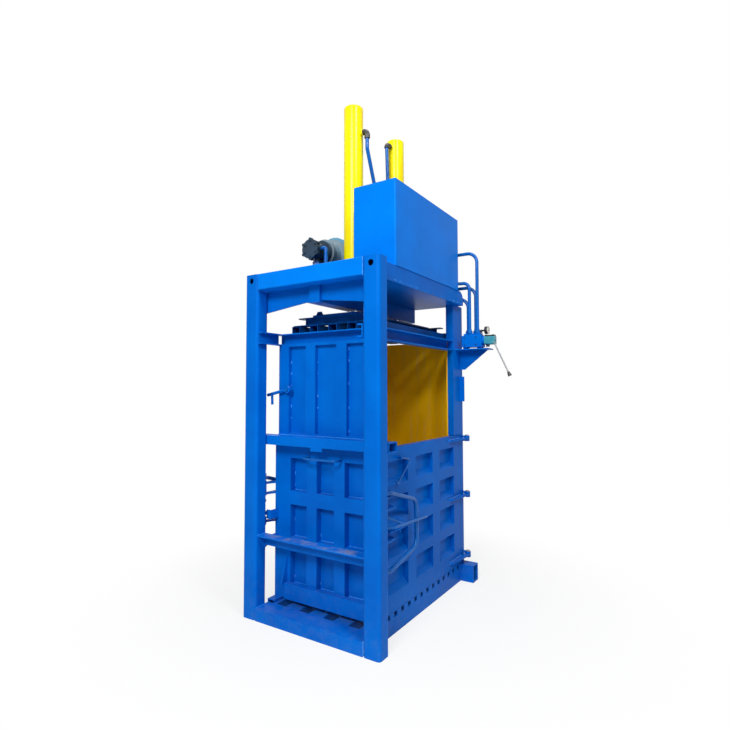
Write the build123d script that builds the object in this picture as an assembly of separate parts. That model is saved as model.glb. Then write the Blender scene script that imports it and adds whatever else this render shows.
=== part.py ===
from build123d import *
from math import cos, sin, radians, tan
import os

# Upright twin-cylinder recycling baler, in millimetres.
# The origin is on the floor, in the middle of the bale chamber.
# -Y is the portal with the fixed end wall, +X is the side with the feed opening and the door.

# Bale chamber
chamber_half_x = 435
chamber_half_y = 636
wall_depth = 60
floor_height = 80
skin = 6
plate = 8

# Portal in front of the chamber
portal_overhang = 105
column_width = 118
column_depth = 104
column_height = 2300
column_wall = 8
column_corner = 22
portal_gap = 98
beam_height = 109
eye_diameter = 39
eye_from_side = 58
eye_from_top = 44
toe_length = 26
toe_height = 62
toe_thickness = 10
toe_inset = 34

# Angle between the columns that traps the lower end wall
lock_bar_top = 549
lock_bar_leg = 76
lock_bar_setback = 17
lock_bar_gap = 10
lock_bar_brace = 86

# Heights up the chamber
panel_bottom = 100
middle_beam_bottom = 1143
middle_beam_height = 62
middle_beam_gap = 11
middle_beam_tab = 94
tab_reach = 25
top_rail_height = 80
link_width = 38
door_top = 1148
post_joint_gap = 4

# Comb of drain slots under each door
comb_height = 40
comb_thickness = 10
comb_slot_length = 40
comb_slot_pitch = 90
comb_slot_count = 13
comb_rim = 6

# Top frame
side_rail_height = 97
side_rail_width = 80
side_rail_overhang = 45
side_rail_setback = 79
side_rail_radius = 70
deck_thickness = 12
girder_half_width = 43
girder_height = 112
girder_nose = 23
haunch_depth_middle = 98
haunch_depth_side = 156
haunch_inset = 20
rod_hole_gap = 3

# Rear posts and foot
post_length_y = 184
post_overhang = 2
lower_post_y = 60
foot_depth = 99
foot_height = 130
foot_gap = 71
post_tab_width = 38
post_tab_height = 200
post_tab_inset = 49

# Floor
slot_width = 82
slot_count = 4
first_slat_width = 20
last_slat_width = 60
sill_depth = 132

# Lower end wall: three by three pockets
panel_border_side = 138
panel_border_low = 100
panel_border_high = 82
panel_rib_width = 84
panel_rib_height = 92
panel_pocket_depth = 50
panel_side_gap = 4
overlap_flange = 12
end_handle_half = 132
end_handle_drop = 69
end_handle_reach = 70
end_handle_bend = 28
end_handle_radius = 7.5
foot_angle_high = 115
foot_angle_low = 12
foot_angle_reach = 36
foot_gusset_reach = 58
foot_gusset_height = 220

# Upper end wall: rounded corner posts, a recessed sheet and two hat ribs
rib_width_upper = 82
rib_centre_upper = 128
corner_post_width = 116
corner_post_radius = 47
recess_depth_upper = 30
upper_border_low = 14
upper_border_high = 12

# Closed walls behind and on the left
rear_border = 74
rear_rib = 76
rear_border_low = 70
rear_band = 90
rear_border_high = 60
left_border = 45
left_rib = 95
left_border_low = 48
left_border_high = 30

# Side doors: three by four pockets with sloped bottoms
door_front_inset = 19
door_gap = 4
door_pocket_depth = 40
door_border_front = 47.5
door_border_rear = 126.5
door_border_low = 110
door_border_high = 83
door_rib_width = 115.5
door_rib_height = 72
door_rows = 4
door_columns = 3
fold_depth = 9

# Door hinges
hinge_offset_x = 27
hinge_offset_y = 18
hinge_pin_radius = 11
hinge_eye_radius = 22
hinge_low_rise = 50
hinge_top_drop = 30
hinge_middle_lift = 14
hinge_arm_thickness = 14
hinge_arm_length = 225
hinge_arm_bow = 22
lug_shoulder_x = 16
lug_shoulder_y = 15
pin_head_height = 8
pin_head_rim = 5
running_clearance = 0.05
side_clearance = 0.5

# Door latch
latch_offset_x = 50
latch_offset_y = 37
shaft_radius = 11
shaft_bottom = 415
shaft_top = 935
sleeve_radius = 17
sleeve_spans = ((785, 885), (585, 640))
latch_arm_levels = ((797, 868), (606,))
arm_thickness = 12
arm_root = 67
finger_levels = (500, 665)
finger_length = 62
finger_height = 18
finger_collar = 20
finger_collar_half = 12
finger_root = 4
finger_tip = 8
stop_levels = (750, 928)
stop_height = 14
handle_tube_radius = 13.5
handle_tube_wall = 3
handle_offset_x = 15
handle_reach = 385
handle_near = 46
handle_lean = 8
handle_dip = 4
handle_bends = (40, 74, 68, 40)
handle_top_drop = 32
handle_low_rise = 25
handle_bow_drop = 132
handle_bow_rise = 97
lever_rod_radius = 8
lever_level = 700
lever_length = 486
lever_brace_rise = 68
lever_brace_reach = 167
lever_near = 60
lever_bend = 45
lever_near_dip = 4
lever_far_dip = 25
keeper_height = 60
keeper_lip = 41
keeper_gap = 7
keeper_side_gap = 10
rest_level = 642
rest_reach = 34
rest_length = 160
rest_height = 48
rest_peg_radius = 7
rest_peg_inset = 40
rest_peg_length = 26

# Stay hook on the door
hook_offset = 20
hook_pin_drop = 64
hook_pin_y = -441
hook_pin_radius = 6
hook_eye_radius = 13
hook_eye_half = 5.5
hook_rod_radius = 5.5
hook_washer_radius = 11
hook_play = 1
hook_washer_thickness = 4.5
hook_route = ((11, -4), (141, -28), (-41, -164), (-59, -138))
hook_bends = (16, 10)

# Ram
platen_gap_x = 19
platen_gap_y = 15
platen_over_rail = 7
ram_tube_count = 5
ram_tube_width = 72
ram_tube_height = 50
ram_tube_wall = 5
cross_beam_height = 58
cross_beam_width = 60
cross_beam_inset = 46
ram_web_x = 86
mount_plate_thickness = 12
mount_plate_half = 180
ram_rest_gap = 47
collar_radius = 65
collar_height = 26
collar_bolt_circle = 50
collar_bolt_count = 8
collar_bolt_radius = 7
rod_radius = 30
lug_height = 26
lug_thickness = 10
lug_length = 60
lug_chamfer = 15

# Cylinders
cylinder_inset_y = 329
ram_stroke = 1100
barrel_dead_length = 262
barrel_radius = 70
barrel_wall = 12.5
barrel_rim = 12
barrel_end = 35
piston_height = 50
piston_rest_gap = 30
piston_clearance = 0.1
cylinder_flange_size = 230
cylinder_flange_thickness = 30
cylinder_flange_corner = 14
flange_bolt_inset = 22
flange_bolt_radius = 15
flange_bolt_height = 16
gland_height = 70
front_port_drop = 199
rear_port_drop = 72
low_port_rise = 137
port_boss_radius = 20
port_boss_length = 14

# Oil tank
tank_pipe_gap = 30
tank_width = 325
tank_length = 1005
tank_rear_setback = 179
tank_height = 560
tank_wall = 4
tank_corner = 10
tank_lid = 8
tank_leg_width = 52
tank_leg_length = 60
tank_leg_inset = 36
filler_inset_x = 90
filler_inset_y = 160
filler_radius = 34
filler_base_radius = 42
filler_height = 40
filler_grip_count = 12
filler_groove_radius = 4

# Motor and pump
motor_x = -260
motor_axis_rise = 230
motor_foot_drop = 160
motor_front_y = -190
motor_length = 340
stator_radius = 128
fin_radius = 148
fin_root = 12
fin_thickness = 4
fin_count = 28
bare_arc = (245, 295)
end_shield = 14
fan_shield = 10
fan_cover_length = 72
fan_cover_round = 22
grille_pitch = 28
grille_half_count = 3
grille_half_width = 110
foot_spread = 110
foot_pad_half = 30
foot_inset = 45
foot_half_length = 25
foot_web_offset = 85.8
foot_web_half = 9
foot_web_half_length = 20
foot_web_drop = 60
terminal_box_size = 94
terminal_box_length = 120
terminal_box_height = 90
terminal_box_drop = 30
bell_length = 126
bell_radius = 92
bell_flange_radius = 130
bell_flange_length = 18
window_half_width = 34
window_front_rim = 30
window_rear_rim = 18
pump_length = 156
pump_radius = 62
pump_flange_radius = 88
pump_flange_length = 30
pump_disc_radius = 71
pump_disc_length = 26
pump_lobe_radius = 12
pump_bolt_circle = 56
pump_bolt_radius = 7
pump_bolt_count = 6
pressure_port_y = -446
suction_port_y = -400
pump_port_reach = 80
pump_port_root = 20
suction_radius = 20
suction_wall = 4
suction_rise = 45

# Motor base
base_left = 140
base_right = 172
base_front_overhang = 170
base_rear_overhang = 70
base_thickness = 12
base_leg_width = 50
base_leg_length = 60
base_leg_inset = 100
base_leg_front = 10
stay_front_rise = 70
stay_rear_rise = 45
stay_front_y = -250
stay_rear_y = 16
stay_thickness = 8
stay_rim_width = 24
stay_rim_height = 14

# Valve station on the rear right post
shelf_drop = 67
shelf_length = 265
shelf_depth = 138
shelf_gusset_height = 154
shelf_gusset_inset = 30
shelf_gusset_tip = 40
valve_setback = 63
valve_height = 123
valve_foot_height = 14
valve_foot_inset = 24
valve_foot_half = 16
valve_foot_half_depth = 30
valve_cap = 16
valve_half_depth = 45
valve_cap_half_depth = 34
valve_left_gap = 41
valve_right_gap = 60
valve_flange_radius = 34
valve_flange_length = 16
valve_flange_rise = 64
valve_head_length = 82
valve_head_half_depth = 28
valve_head_rise = 30
valve_head_height = 66
valve_head_round = 12
lever_slot_rise = 18
lever_pivot_inset = 8
lever_pivot_rise = 44
lever_pin_radius = 5
lever_boss_radius = 10
lever_boss_half = 7
lever_radius = 6
lever_run = 106
lever_fall = 230
knob_length = 34
knob_radius = 16
knob_neck_radius = 9
gauge_rise = 24
gauge_offset_x = 16
gauge_offset_y = 24
gauge_radius = 31
gauge_depth = 24
gauge_reach = 34
gauge_stem_radius = 9
gauge_neck_radius = 7

# Pipes
pipe_radius = 13.5
pipe_bore = 10
bend_radius = 80
pipe_clearance = 5
cap_pipe_gap = 48
rod_pipe_gap = 60
cap_pipe_drop = 250
cap_pipe_kink = 126
cap_pipe_lean = 157
rear_cap_reach = 58
rear_cap_offset = 33
rear_cap_shares = (0.44, 0.215)
return_pipe_rise = 72
return_pipe_inset = 55
pressure_drop_x = 116
valve_port_shares = (0.22, 0.366, 0.585, 0.756)
valve_port_offsets = (15, -19, 25, -15)
cap_pipe_bends = (26, 40, 120, 70, bend_radius, bend_radius)
rear_cap_bends = (30, 120, 120, 26)
rod_pipe_bends = (30, bend_radius, bend_radius)
return_pipe_bends = (50, 55)
pressure_pipe_bends = (20, 40, 30, bend_radius)
suction_bend = 60
end_run_share = 0.95
inner_run_share = 0.49

# Hook lever on the front left corner post
hook_lever_radius = 11
hook_lever_gap = 9
hook_lever_length = 197
hook_lever_fall = 42
hook_lever_bend = 40
hook_lever_tail = 68
hook_bolt_radius = 8
hook_boss_radius = 24
hook_boss_half = 12
hook_level_share = 0.508

# Places that follow from the sizes above
portal_half_width = chamber_half_x + portal_overhang
portal_back_y = -chamber_half_y - portal_gap
portal_front_y = portal_back_y - column_depth
column_inner_x = portal_half_width - column_width
beam_bottom = column_height - beam_height
inner_x = chamber_half_x - wall_depth
inner_y = chamber_half_y - wall_depth
side_rail_half_x = chamber_half_x + side_rail_overhang
side_rail_inner_x = side_rail_half_x - side_rail_width
side_rail_bottom = column_height - side_rail_height
deck_bottom = side_rail_bottom - deck_thickness
girder_bottom = deck_bottom - girder_height
mount_plate_top = girder_bottom - ram_rest_gap
cross_beam_top = mount_plate_top - mount_plate_thickness
ram_tube_top = cross_beam_top - cross_beam_height
platen_bottom = ram_tube_top - ram_tube_height
rail_top = platen_bottom - platen_over_rail
upper_panel_top = rail_top - top_rail_height
lower_panel_top = middle_beam_bottom - middle_beam_gap
middle_beam_top = middle_beam_bottom + middle_beam_height
platen_half_x = inner_x - platen_gap_x
platen_half_y = inner_y - platen_gap_y
post_rear_y = chamber_half_y + post_overhang
post_front_y = post_rear_y - post_length_y
side_rail_end_y = post_rear_y - side_rail_setback
lower_post_front = post_rear_y - lower_post_y
post_joint_z = door_top + post_joint_gap
foot_front_y = post_rear_y - foot_gap
sill_back_y = portal_front_y + sill_depth
door_bottom = panel_bottom + comb_height
door_front_y = -chamber_half_y + door_front_inset
door_rear_y = lower_post_front - door_gap
door_inner_x = chamber_half_x - door_pocket_depth - plate
hinge_x = chamber_half_x + hinge_offset_x
hinge_y = post_rear_y + hinge_offset_y
hinge_low = door_bottom + hinge_low_rise
hinge_high = door_top - hinge_top_drop
hinge_levels = (hinge_low, (hinge_low + hinge_high) / 2 + hinge_middle_lift, hinge_high)
latch_x = chamber_half_x + latch_offset_x
latch_y = portal_back_y + latch_offset_y
cylinder_y = chamber_half_y - cylinder_inset_y
cylinder_base_z = side_rail_bottom
barrel_top = cylinder_base_z + ram_stroke + barrel_dead_length
bore_radius = barrel_radius - barrel_wall
cap_pipe_x = barrel_radius + cap_pipe_gap
rod_pipe_x = barrel_radius + rod_pipe_gap
tank_left = rod_pipe_x + tank_pipe_gap
tank_right = tank_left + tank_width
tank_rear = post_rear_y - tank_rear_setback
tank_front = tank_rear - tank_length
tank_top = column_height + tank_height
motor_axis_z = column_height + motor_axis_rise
motor_rear_y = motor_front_y + motor_length
motor_base_top = motor_axis_z - motor_foot_drop
pressure_drop = motor_x + pressure_drop_x
pressure_run_z = side_rail_bottom + cylinder_flange_thickness + pipe_radius + pipe_clearance
shelf_top = rail_top - shelf_drop
shelf_end = chamber_half_x + shelf_length
valve_y = post_rear_y - valve_setback
valve_top = shelf_top + valve_height
valve_left = chamber_half_x + valve_left_gap
valve_right = shelf_end - valve_right_gap
valve_head_x = valve_right + valve_flange_length
valve_head_end = valve_head_x + valve_head_length
lever_pivot_x = valve_head_end - lever_pivot_inset
lever_pivot_z = shelf_top + lever_pivot_rise

parts = {}


def block(x0, x1, y0, y1, z0, z1):
    centre = ((x0 + x1) / 2, (y0 + y1) / 2, (z0 + z1) / 2)
    return Pos(*centre) * Box(abs(x1 - x0), abs(y1 - y0), abs(z1 - z0))


def rod(start, end, radius):
    # Solid round bar between two points
    a = Vector(*start)
    b = Vector(*end)
    along = b - a
    place = Plane(origin=a, z_dir=along)
    return place * Pos(0, 0, along.length / 2) * Cylinder(radius, along.length)


def along_y(y0, y1, radius, x=motor_x, z=motor_axis_z):
    return rod((x, y0, z), (x, y1, z), radius)


def upright(x, y, z0, z1, radius):
    return rod((x, y, z0), (x, y, z1), radius)


def tube_on(points, bends, radius, bore=0):
    # Round tube along straight runs joined by arcs; a bend gets no larger than its two runs allow
    corners = [Vector(*point) for point in points]
    runs = [end - start for start, end in zip(corners, corners[1:])]
    radii = []
    for index, wanted in enumerate(bends):
        last = index == len(bends) - 1
        before = runs[index].length * (end_run_share if index == 0 else inner_run_share)
        after = runs[index + 1].length * (end_run_share if last else inner_run_share)
        half_turn = radians(runs[index].get_angle(runs[index + 1]) / 2)
        radii.append(min(wanted, min(before, after) / tan(half_turn)))
    path = FilletPolyline(*points, radius=radii) if radii else Polyline(*points)
    start = Plane(origin=points[0], z_dir=runs[0])
    outer = sweep(start * Circle(radius), path=path, transition=Transition.ROUND)
    if not bore:
        return outer
    inner = sweep(start * Circle(bore), path=path, transition=Transition.ROUND)
    return outer - inner


def slab(points, plane, start, thickness):
    # Flat plate cut to an outline, laid on a plane at a height along its normal
    base = plane.offset(start)
    face = base * make_face(Polyline(*points, close=True))
    return extrude(face, amount=thickness)


def spans(low, high, first, last, rib, count):
    # Equal pockets between a first border, ribs and a last border
    size = (high - low - first - last - rib * (count - 1)) / count
    starts = [low + first + index * (size + rib) for index in range(count)]
    return [(start, start + size) for start in starts]


def bands(pockets, low, high):
    # What is left between the pockets of a row, borders included
    edges = [low] + [edge for pocket in pockets for edge in pocket] + [high]
    return list(zip(edges[0::2], edges[1::2]))


def mirrored(shape):
    return mirror(shape, about=Plane.YZ)


def both_sides(solids):
    return solids + [mirrored(solid) for solid in solids]


def add(name, solids):
    parts[name] = Compound(children=solids) if isinstance(solids, list) else solids


def box_tube(x0, x1, y0, y1, z0, z1, wall, along):
    # Rectangular hollow section, open at both ends
    gap = {"x": (0, wall, wall), "y": (wall, 0, wall), "z": (wall, wall, 0)}[along]
    past = {"x": (1, 0, 0), "y": (0, 1, 0), "z": (0, 0, 1)}[along]
    inside = block(x0 + gap[0] - past[0], x1 - gap[0] + past[0],
                   y0 + gap[1] - past[1], y1 - gap[1] + past[1],
                   z0 + gap[2] - past[2], z1 - gap[2] + past[2])
    return block(x0, x1, y0, y1, z0, z1) - inside


def open_channel(low, high, inner, outer, bottom, top, along):
    # C section that opens outwards, given along X or along Y
    side = 1 if outer > inner else -1
    back = inner + side * plate
    mouth = outer + side
    if along == "x":
        body = block(low, high, inner, outer, bottom, top)
        return body - block(low - 1, high + 1, back, mouth, bottom + plate, top - plate)
    body = block(inner, outer, low, high, bottom, top)
    return body - block(back, mouth, low - 1, high + 1, bottom + plate, top - plate)


def column():
    body = block(column_inner_x, portal_half_width, portal_front_y, portal_back_y,
                 0, column_height)
    body = fillet(body.edges().filter_by(Axis.Z), column_corner)
    hollow = block(column_inner_x + column_wall, portal_half_width - column_wall,
                   portal_front_y + column_wall, portal_back_y - column_wall,
                   -1, column_height - column_wall)
    hollow = fillet(hollow.edges().filter_by(Axis.Z), column_corner - column_wall)
    eye_x = portal_half_width - eye_from_side
    eye_z = column_height - eye_from_top
    eye = rod((eye_x, portal_front_y - 1, eye_z), (eye_x, portal_front_y + column_wall + 1, eye_z),
              eye_diameter / 2)
    toe = slab([(portal_back_y, 0), (portal_back_y + toe_length, 0), (portal_back_y, toe_height)],
               Plane.YZ, portal_half_width - toe_inset, toe_thickness)
    return [body - hollow - eye, toe]


def portal():
    right = column()
    add("front_right_column", right)
    add("front_left_column", [mirrored(solid) for solid in right])
    beam = box_tube(-column_inner_x, column_inner_x, portal_front_y, portal_back_y,
                    beam_bottom, column_height, column_wall, "x")
    outer_edges = beam.edges().filter_by(Axis.X).group_by(Axis.Z)
    front_edges = [edge for edge in outer_edges[0] + outer_edges[-1]
                   if edge.center().Y < portal_front_y + 1]
    add("portal_top_beam", fillet(front_edges, column_wall - 1))


def lock_bar():
    # Unequal angle with a gusset at each end
    leg_y = portal_back_y - lock_bar_gap
    bar = block(-column_inner_x, column_inner_x, portal_front_y + lock_bar_setback, leg_y,
                lock_bar_top - plate, lock_bar_top)
    bar += block(-column_inner_x, column_inner_x, leg_y - plate, leg_y,
                 lock_bar_top - lock_bar_leg, lock_bar_top)
    gusset = slab([(portal_front_y + lock_bar_setback, lock_bar_top - plate),
                   (leg_y - plate, lock_bar_top - plate),
                   (leg_y - plate, lock_bar_top - plate - lock_bar_brace)],
                  Plane.YZ, column_inner_x - plate, plate)
    add("lock_bar", [bar] + both_sides([gusset]))


def front_base():
    sill = block(-column_inner_x, column_inner_x, portal_front_y, sill_back_y, 0, floor_height)
    sill -= block(-column_inner_x - 1, column_inner_x + 1, portal_front_y + plate,
                  sill_back_y - plate, -1, floor_height - plate)
    add("base_sill", sill)
    # Floor slats with strap slots between them, open to the ground
    free_width = 2 * inner_x - first_slat_width - last_slat_width - slot_count * slot_width
    slat_width = free_width / (slot_count - 1)
    slots = spans(-inner_x, inner_x, first_slat_width, last_slat_width, slat_width, slot_count)
    slats = []
    for low, high in bands(slots, -inner_x, inner_x):
        slat = block(low, high, sill_back_y, foot_front_y, 0, floor_height)
        slat -= block(low + skin, high - skin, sill_back_y - 1, foot_front_y + 1, skin, floor_height - skin)
        slats.append(slat)
    add("floor_slats", slats)


def bottom_rails():
    rail = box_tube(inner_x, chamber_half_x, sill_back_y, foot_front_y, 0, panel_bottom, skin, "y")
    comb_top = door_bottom - post_overhang
    comb = block(chamber_half_x - comb_thickness, chamber_half_x, door_front_y, foot_front_y,
                 panel_bottom, comb_top)
    margin = foot_front_y - door_front_y - (comb_slot_count - 1) * comb_slot_pitch - comb_slot_length
    for index in range(comb_slot_count):
        y = door_front_y + margin / 2 + index * comb_slot_pitch
        comb -= block(chamber_half_x - comb_thickness - 1, chamber_half_x + 1, y, y + comb_slot_length,
                      panel_bottom - 1, comb_top - comb_rim)
    add("bottom_side_rails", both_sides([rail, comb]))


def rear_frame():
    foot = box_tube(-portal_half_width, portal_half_width, foot_front_y, foot_front_y + foot_depth,
                    0, foot_height, plate, "x")
    add("rear_foot", foot)
    upper = block(inner_x, chamber_half_x, post_front_y, post_rear_y, post_joint_z, deck_bottom)
    upper -= block(inner_x + skin, chamber_half_x - skin, post_front_y + skin, post_rear_y - skin,
                   post_joint_z + skin, deck_bottom + 1)
    lower = box_tube(inner_x, chamber_half_x, lower_post_front, post_rear_y,
                     foot_height, post_joint_z, skin, "z")
    tab_y = post_rear_y - post_tab_inset
    tab_middle = middle_beam_top + hook_level_share * (upper_panel_top - middle_beam_top)
    tab = block(chamber_half_x, chamber_half_x + post_tab_width, tab_y - plate, tab_y,
                tab_middle - post_tab_height / 2, tab_middle + post_tab_height / 2)
    add("rear_posts", both_sides([upper, lower]) + [tab])


def rear_wall():
    # Closed sheet wall with shallow pans between hollow ribs, open at the lower edge
    wall = block(-inner_x, inner_x, inner_y, chamber_half_y, foot_height, upper_panel_top)
    columns = spans(-inner_x, inner_x, rear_border, rear_border, rear_rib, 3)
    rows = spans(foot_height, upper_panel_top, rear_border_low, rear_border_high, rear_band, 2)
    for x0, x1 in columns:
        for z0, z1 in rows:
            wall -= block(x0, x1, chamber_half_y - panel_pocket_depth, chamber_half_y + 1, z0, z1)
    for x0, x1 in bands(columns, -inner_x, inner_x):
        wall -= block(x0 + skin, x1 - skin, inner_y + skin, chamber_half_y - skin,
                      foot_height - 1, upper_panel_top - skin)
    add("rear_wall", wall)


def chamber_rails():
    front = open_channel(-chamber_half_x, chamber_half_x, -inner_y, -chamber_half_y,
                         upper_panel_top, rail_top, "x")
    rear = open_channel(-inner_x, inner_x, inner_y, chamber_half_y,
                        upper_panel_top, rail_top, "x")
    add("end_top_rails", [front, rear])
    side = open_channel(-inner_y, post_front_y, inner_x, chamber_half_x,
                        upper_panel_top, rail_top, "y")
    add("side_top_rails", both_sides([side]))
    link_inner = column_inner_x - link_width
    link_front = portal_front_y + skin
    link = block(link_inner, column_inner_x, link_front, -chamber_half_y, upper_panel_top, rail_top)
    link -= block(link_inner - 1, column_inner_x - plate, link_front - 1, -chamber_half_y + 1,
                  upper_panel_top + plate, rail_top - plate)
    add("link_channels", both_sides([link]))


def upper_end_wall():
    face_y = -chamber_half_y
    sheet_y = face_y + recess_depth_upper
    post_inner = chamber_half_x - corner_post_width
    wall = block(-chamber_half_x, chamber_half_x, face_y, -inner_y,
                 middle_beam_top, upper_panel_top)
    corners = [edge for edge in wall.edges().filter_by(Axis.Z) if edge.center().Y < face_y + 1]
    wall = fillet(corners, corner_post_radius)
    rib_half = rib_width_upper / 2
    pockets = [(-post_inner, -rib_centre_upper - rib_half),
               (-rib_centre_upper + rib_half, rib_centre_upper - rib_half),
               (rib_centre_upper + rib_half, post_inner)]
    for low, high in pockets:
        wall -= block(low, high, face_y - 1, sheet_y,
                      middle_beam_top + upper_border_low, upper_panel_top - upper_border_high)
    hollow_top = upper_panel_top - skin
    hollow_bottom = middle_beam_top - 1
    cavity = block(-inner_x, inner_x, sheet_y + skin, -inner_y - skin, hollow_bottom, hollow_top)
    for low, high in bands(pockets, -post_inner, post_inner)[1:-1]:
        cavity += block(low + skin, high - skin, face_y + skin, sheet_y + skin + 1,
                        hollow_bottom, hollow_top)
    add("front_upper_panel", wall - cavity)


def lower_end_wall():
    # A grid of nine pockets, held in place by the angle bar and the tab of the middle beam
    face_y = -chamber_half_y
    back_y = face_y + panel_pocket_depth
    body_half = inner_x - panel_side_gap
    panel = block(-body_half, body_half, face_y, back_y + plate, panel_bottom, lower_panel_top)
    panel += block(-chamber_half_x, chamber_half_x, face_y, face_y + overlap_flange,
                   panel_bottom, lower_panel_top)
    columns = spans(-chamber_half_x, chamber_half_x, panel_border_side, panel_border_side,
                    panel_rib_width, 3)
    rows = spans(panel_bottom, lower_panel_top, panel_border_low, panel_border_high,
                 panel_rib_height, 3)
    for x0, x1 in columns:
        for z0, z1 in rows:
            panel -= block(x0, x1, face_y - 1, back_y, z0, z1)
    # Hollow stiles between and beside the pockets, open at the lower edge
    stiles = bands(columns, -body_half, body_half)
    for index, (low, high) in enumerate(stiles):
        outer = index in (0, len(stiles) - 1)
        front = face_y + skin + (overlap_flange if outer else 0)
        panel -= block(low + skin, high - skin, front, back_y,
                       panel_bottom - 1, lower_panel_top - skin)
    # Angle along the foot of the wall with one upright gusset
    angle_left = corner_post_width - chamber_half_x
    angle_right = column_inner_x - foot_angle_reach
    angle_y = face_y - foot_angle_reach
    low = panel_bottom + foot_angle_low
    high = panel_bottom + foot_angle_high
    angle = block(angle_left, angle_right, angle_y, angle_y + plate, low, high)
    angle += block(angle_left, angle_right, angle_y, face_y, high - plate, high)
    gusset = slab([(face_y, high - plate + foot_gusset_height), (face_y, high - plate),
                   (face_y - foot_gusset_reach, high - plate)],
                  Plane.YZ, angle_left - toe_thickness, toe_thickness)
    add("front_lower_panel", [panel, angle, gusset])
    handle_z = lower_panel_top - end_handle_drop
    out_y = face_y - end_handle_reach
    points = [(-end_handle_half, face_y, handle_z), (-end_handle_half, out_y, handle_z),
              (end_handle_half, out_y, handle_z), (end_handle_half, face_y, handle_z)]
    handle = tube_on(points, (end_handle_bend, end_handle_bend), end_handle_radius)
    add("front_panel_handle", handle)


def middle_beam():
    beam = box_tube(-portal_half_width, portal_half_width, portal_back_y, -chamber_half_y,
                    middle_beam_bottom, middle_beam_top, skin, "x")
    tab_y = -chamber_half_y - post_overhang
    tab = block(-middle_beam_tab / 2, middle_beam_tab / 2, tab_y - plate, tab_y,
                middle_beam_bottom - tab_reach, middle_beam_bottom)
    add("middle_beam", [beam, tab])


def left_upper_wall():
    # Closed side above the left door: three shallow pans between hollow ribs
    x_face = -chamber_half_x
    x_back = x_face + recess_depth_upper + plate
    bottom = post_joint_z + plate
    wall = block(x_face, x_back, -inner_y, post_front_y, bottom, upper_panel_top)
    pans = spans(-inner_y, post_front_y, left_border, left_border, left_rib, 3)
    for low, high in pans:
        wall -= block(x_face - 1, x_face + recess_depth_upper, low, high,
                      bottom + left_border_low, upper_panel_top - left_border_high)
    for low, high in bands(pans, -inner_y, post_front_y)[1:-1]:
        wall -= block(x_face + skin, x_back - skin, low + skin, high - skin,
                      bottom - 1, upper_panel_top - skin)
    add("left_upper_panel", wall)


def door_leaf():
    # Grid door: pockets with 45 degree bottoms between hollow folded ribs
    outer_x = chamber_half_x
    back = outer_x - door_pocket_depth
    face = outer_x - skin
    inside = door_inner_x + skin
    leaf = block(door_inner_x, outer_x, door_front_y, door_rear_y, door_bottom, door_top)
    columns = spans(door_front_y, door_rear_y, door_border_front, door_border_rear,
                    door_rib_width, door_columns)
    rows = spans(door_bottom, door_top, door_border_low, door_border_high,
                 door_rib_height, door_rows)
    for y0, y1 in columns:
        for low, high in rows:
            points = [(outer_x + 1, low), (outer_x, low), (back, low + door_pocket_depth),
                      (back, high), (outer_x + 1, high)]
            leaf -= slab(points, Plane.XZ, -y1, y1 - y0)
    for low, high in bands(columns, door_front_y, door_rear_y):
        leaf -= block(inside, face, low + skin, high - skin, door_bottom - 1, door_top - skin)
    for index, (low, high) in enumerate(bands(rows, door_bottom, door_top)):
        top = index == len(rows)
        face_z = high - (skin if top else fold_depth)
        inside_z = face_z if top else face_z + door_pocket_depth
        points = [(inside, low + skin), (face, low + skin), (face, face_z), (inside, inside_z)]
        for y0, y1 in columns:
            leaf -= slab(points, Plane.XZ, -(y1 + skin + 1), y1 - y0 + 2 * skin + 2)
    return leaf


def hinge_set():
    arms = []
    brackets = []
    pins = []
    half = hinge_arm_thickness / 2
    edge_x = chamber_half_x
    arm_front_y = door_rear_y - hinge_arm_length
    arm_half = hinge_eye_radius - 2
    for level in hinge_levels:
        outline = [(edge_x, arm_front_y), (edge_x + hinge_arm_bow, arm_front_y + hinge_arm_bow),
                   (hinge_x + arm_half, hinge_y - hinge_eye_radius), (hinge_x + arm_half, hinge_y),
                   (hinge_x - arm_half, hinge_y), (hinge_x - arm_half, hinge_y - 2 * hinge_eye_radius),
                   (edge_x, door_rear_y)]
        arm = slab(outline, Plane.XY, level - half, hinge_arm_thickness)
        arm += upright(hinge_x, hinge_y, level - half, level + half, hinge_eye_radius)
        arm -= upright(hinge_x, hinge_y, level - half - 1, level + half + 1,
                       hinge_pin_radius + running_clearance)
        arms.append(arm)
        for side in (-1, 1):
            z = level + side * (hinge_arm_thickness + side_clearance)
            outline = [(inner_x + plate, post_rear_y), (edge_x, post_rear_y),
                       (hinge_x + lug_shoulder_x, hinge_y - lug_shoulder_y),
                       (hinge_x + plate, hinge_y + hinge_offset_y),
                       (inner_x + plate, post_rear_y + wall_depth / 2)]
            lug = slab(outline, Plane.XY, z - half, hinge_arm_thickness)
            lug += upright(hinge_x, hinge_y, z - half, z + half, hinge_eye_radius)
            lug -= upright(hinge_x, hinge_y, z - half - 1, z + half + 1, hinge_pin_radius)
            brackets.append(lug)
        pin_half = hinge_arm_thickness + half + side_clearance
        pin = upright(hinge_x, hinge_y, level - pin_half, level + pin_half, hinge_pin_radius)
        pin += upright(hinge_x, hinge_y, level + pin_half, level + pin_half + pin_head_height,
                       hinge_pin_radius + pin_head_rim)
        pins.append(pin)
    return arms, brackets, pins


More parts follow.
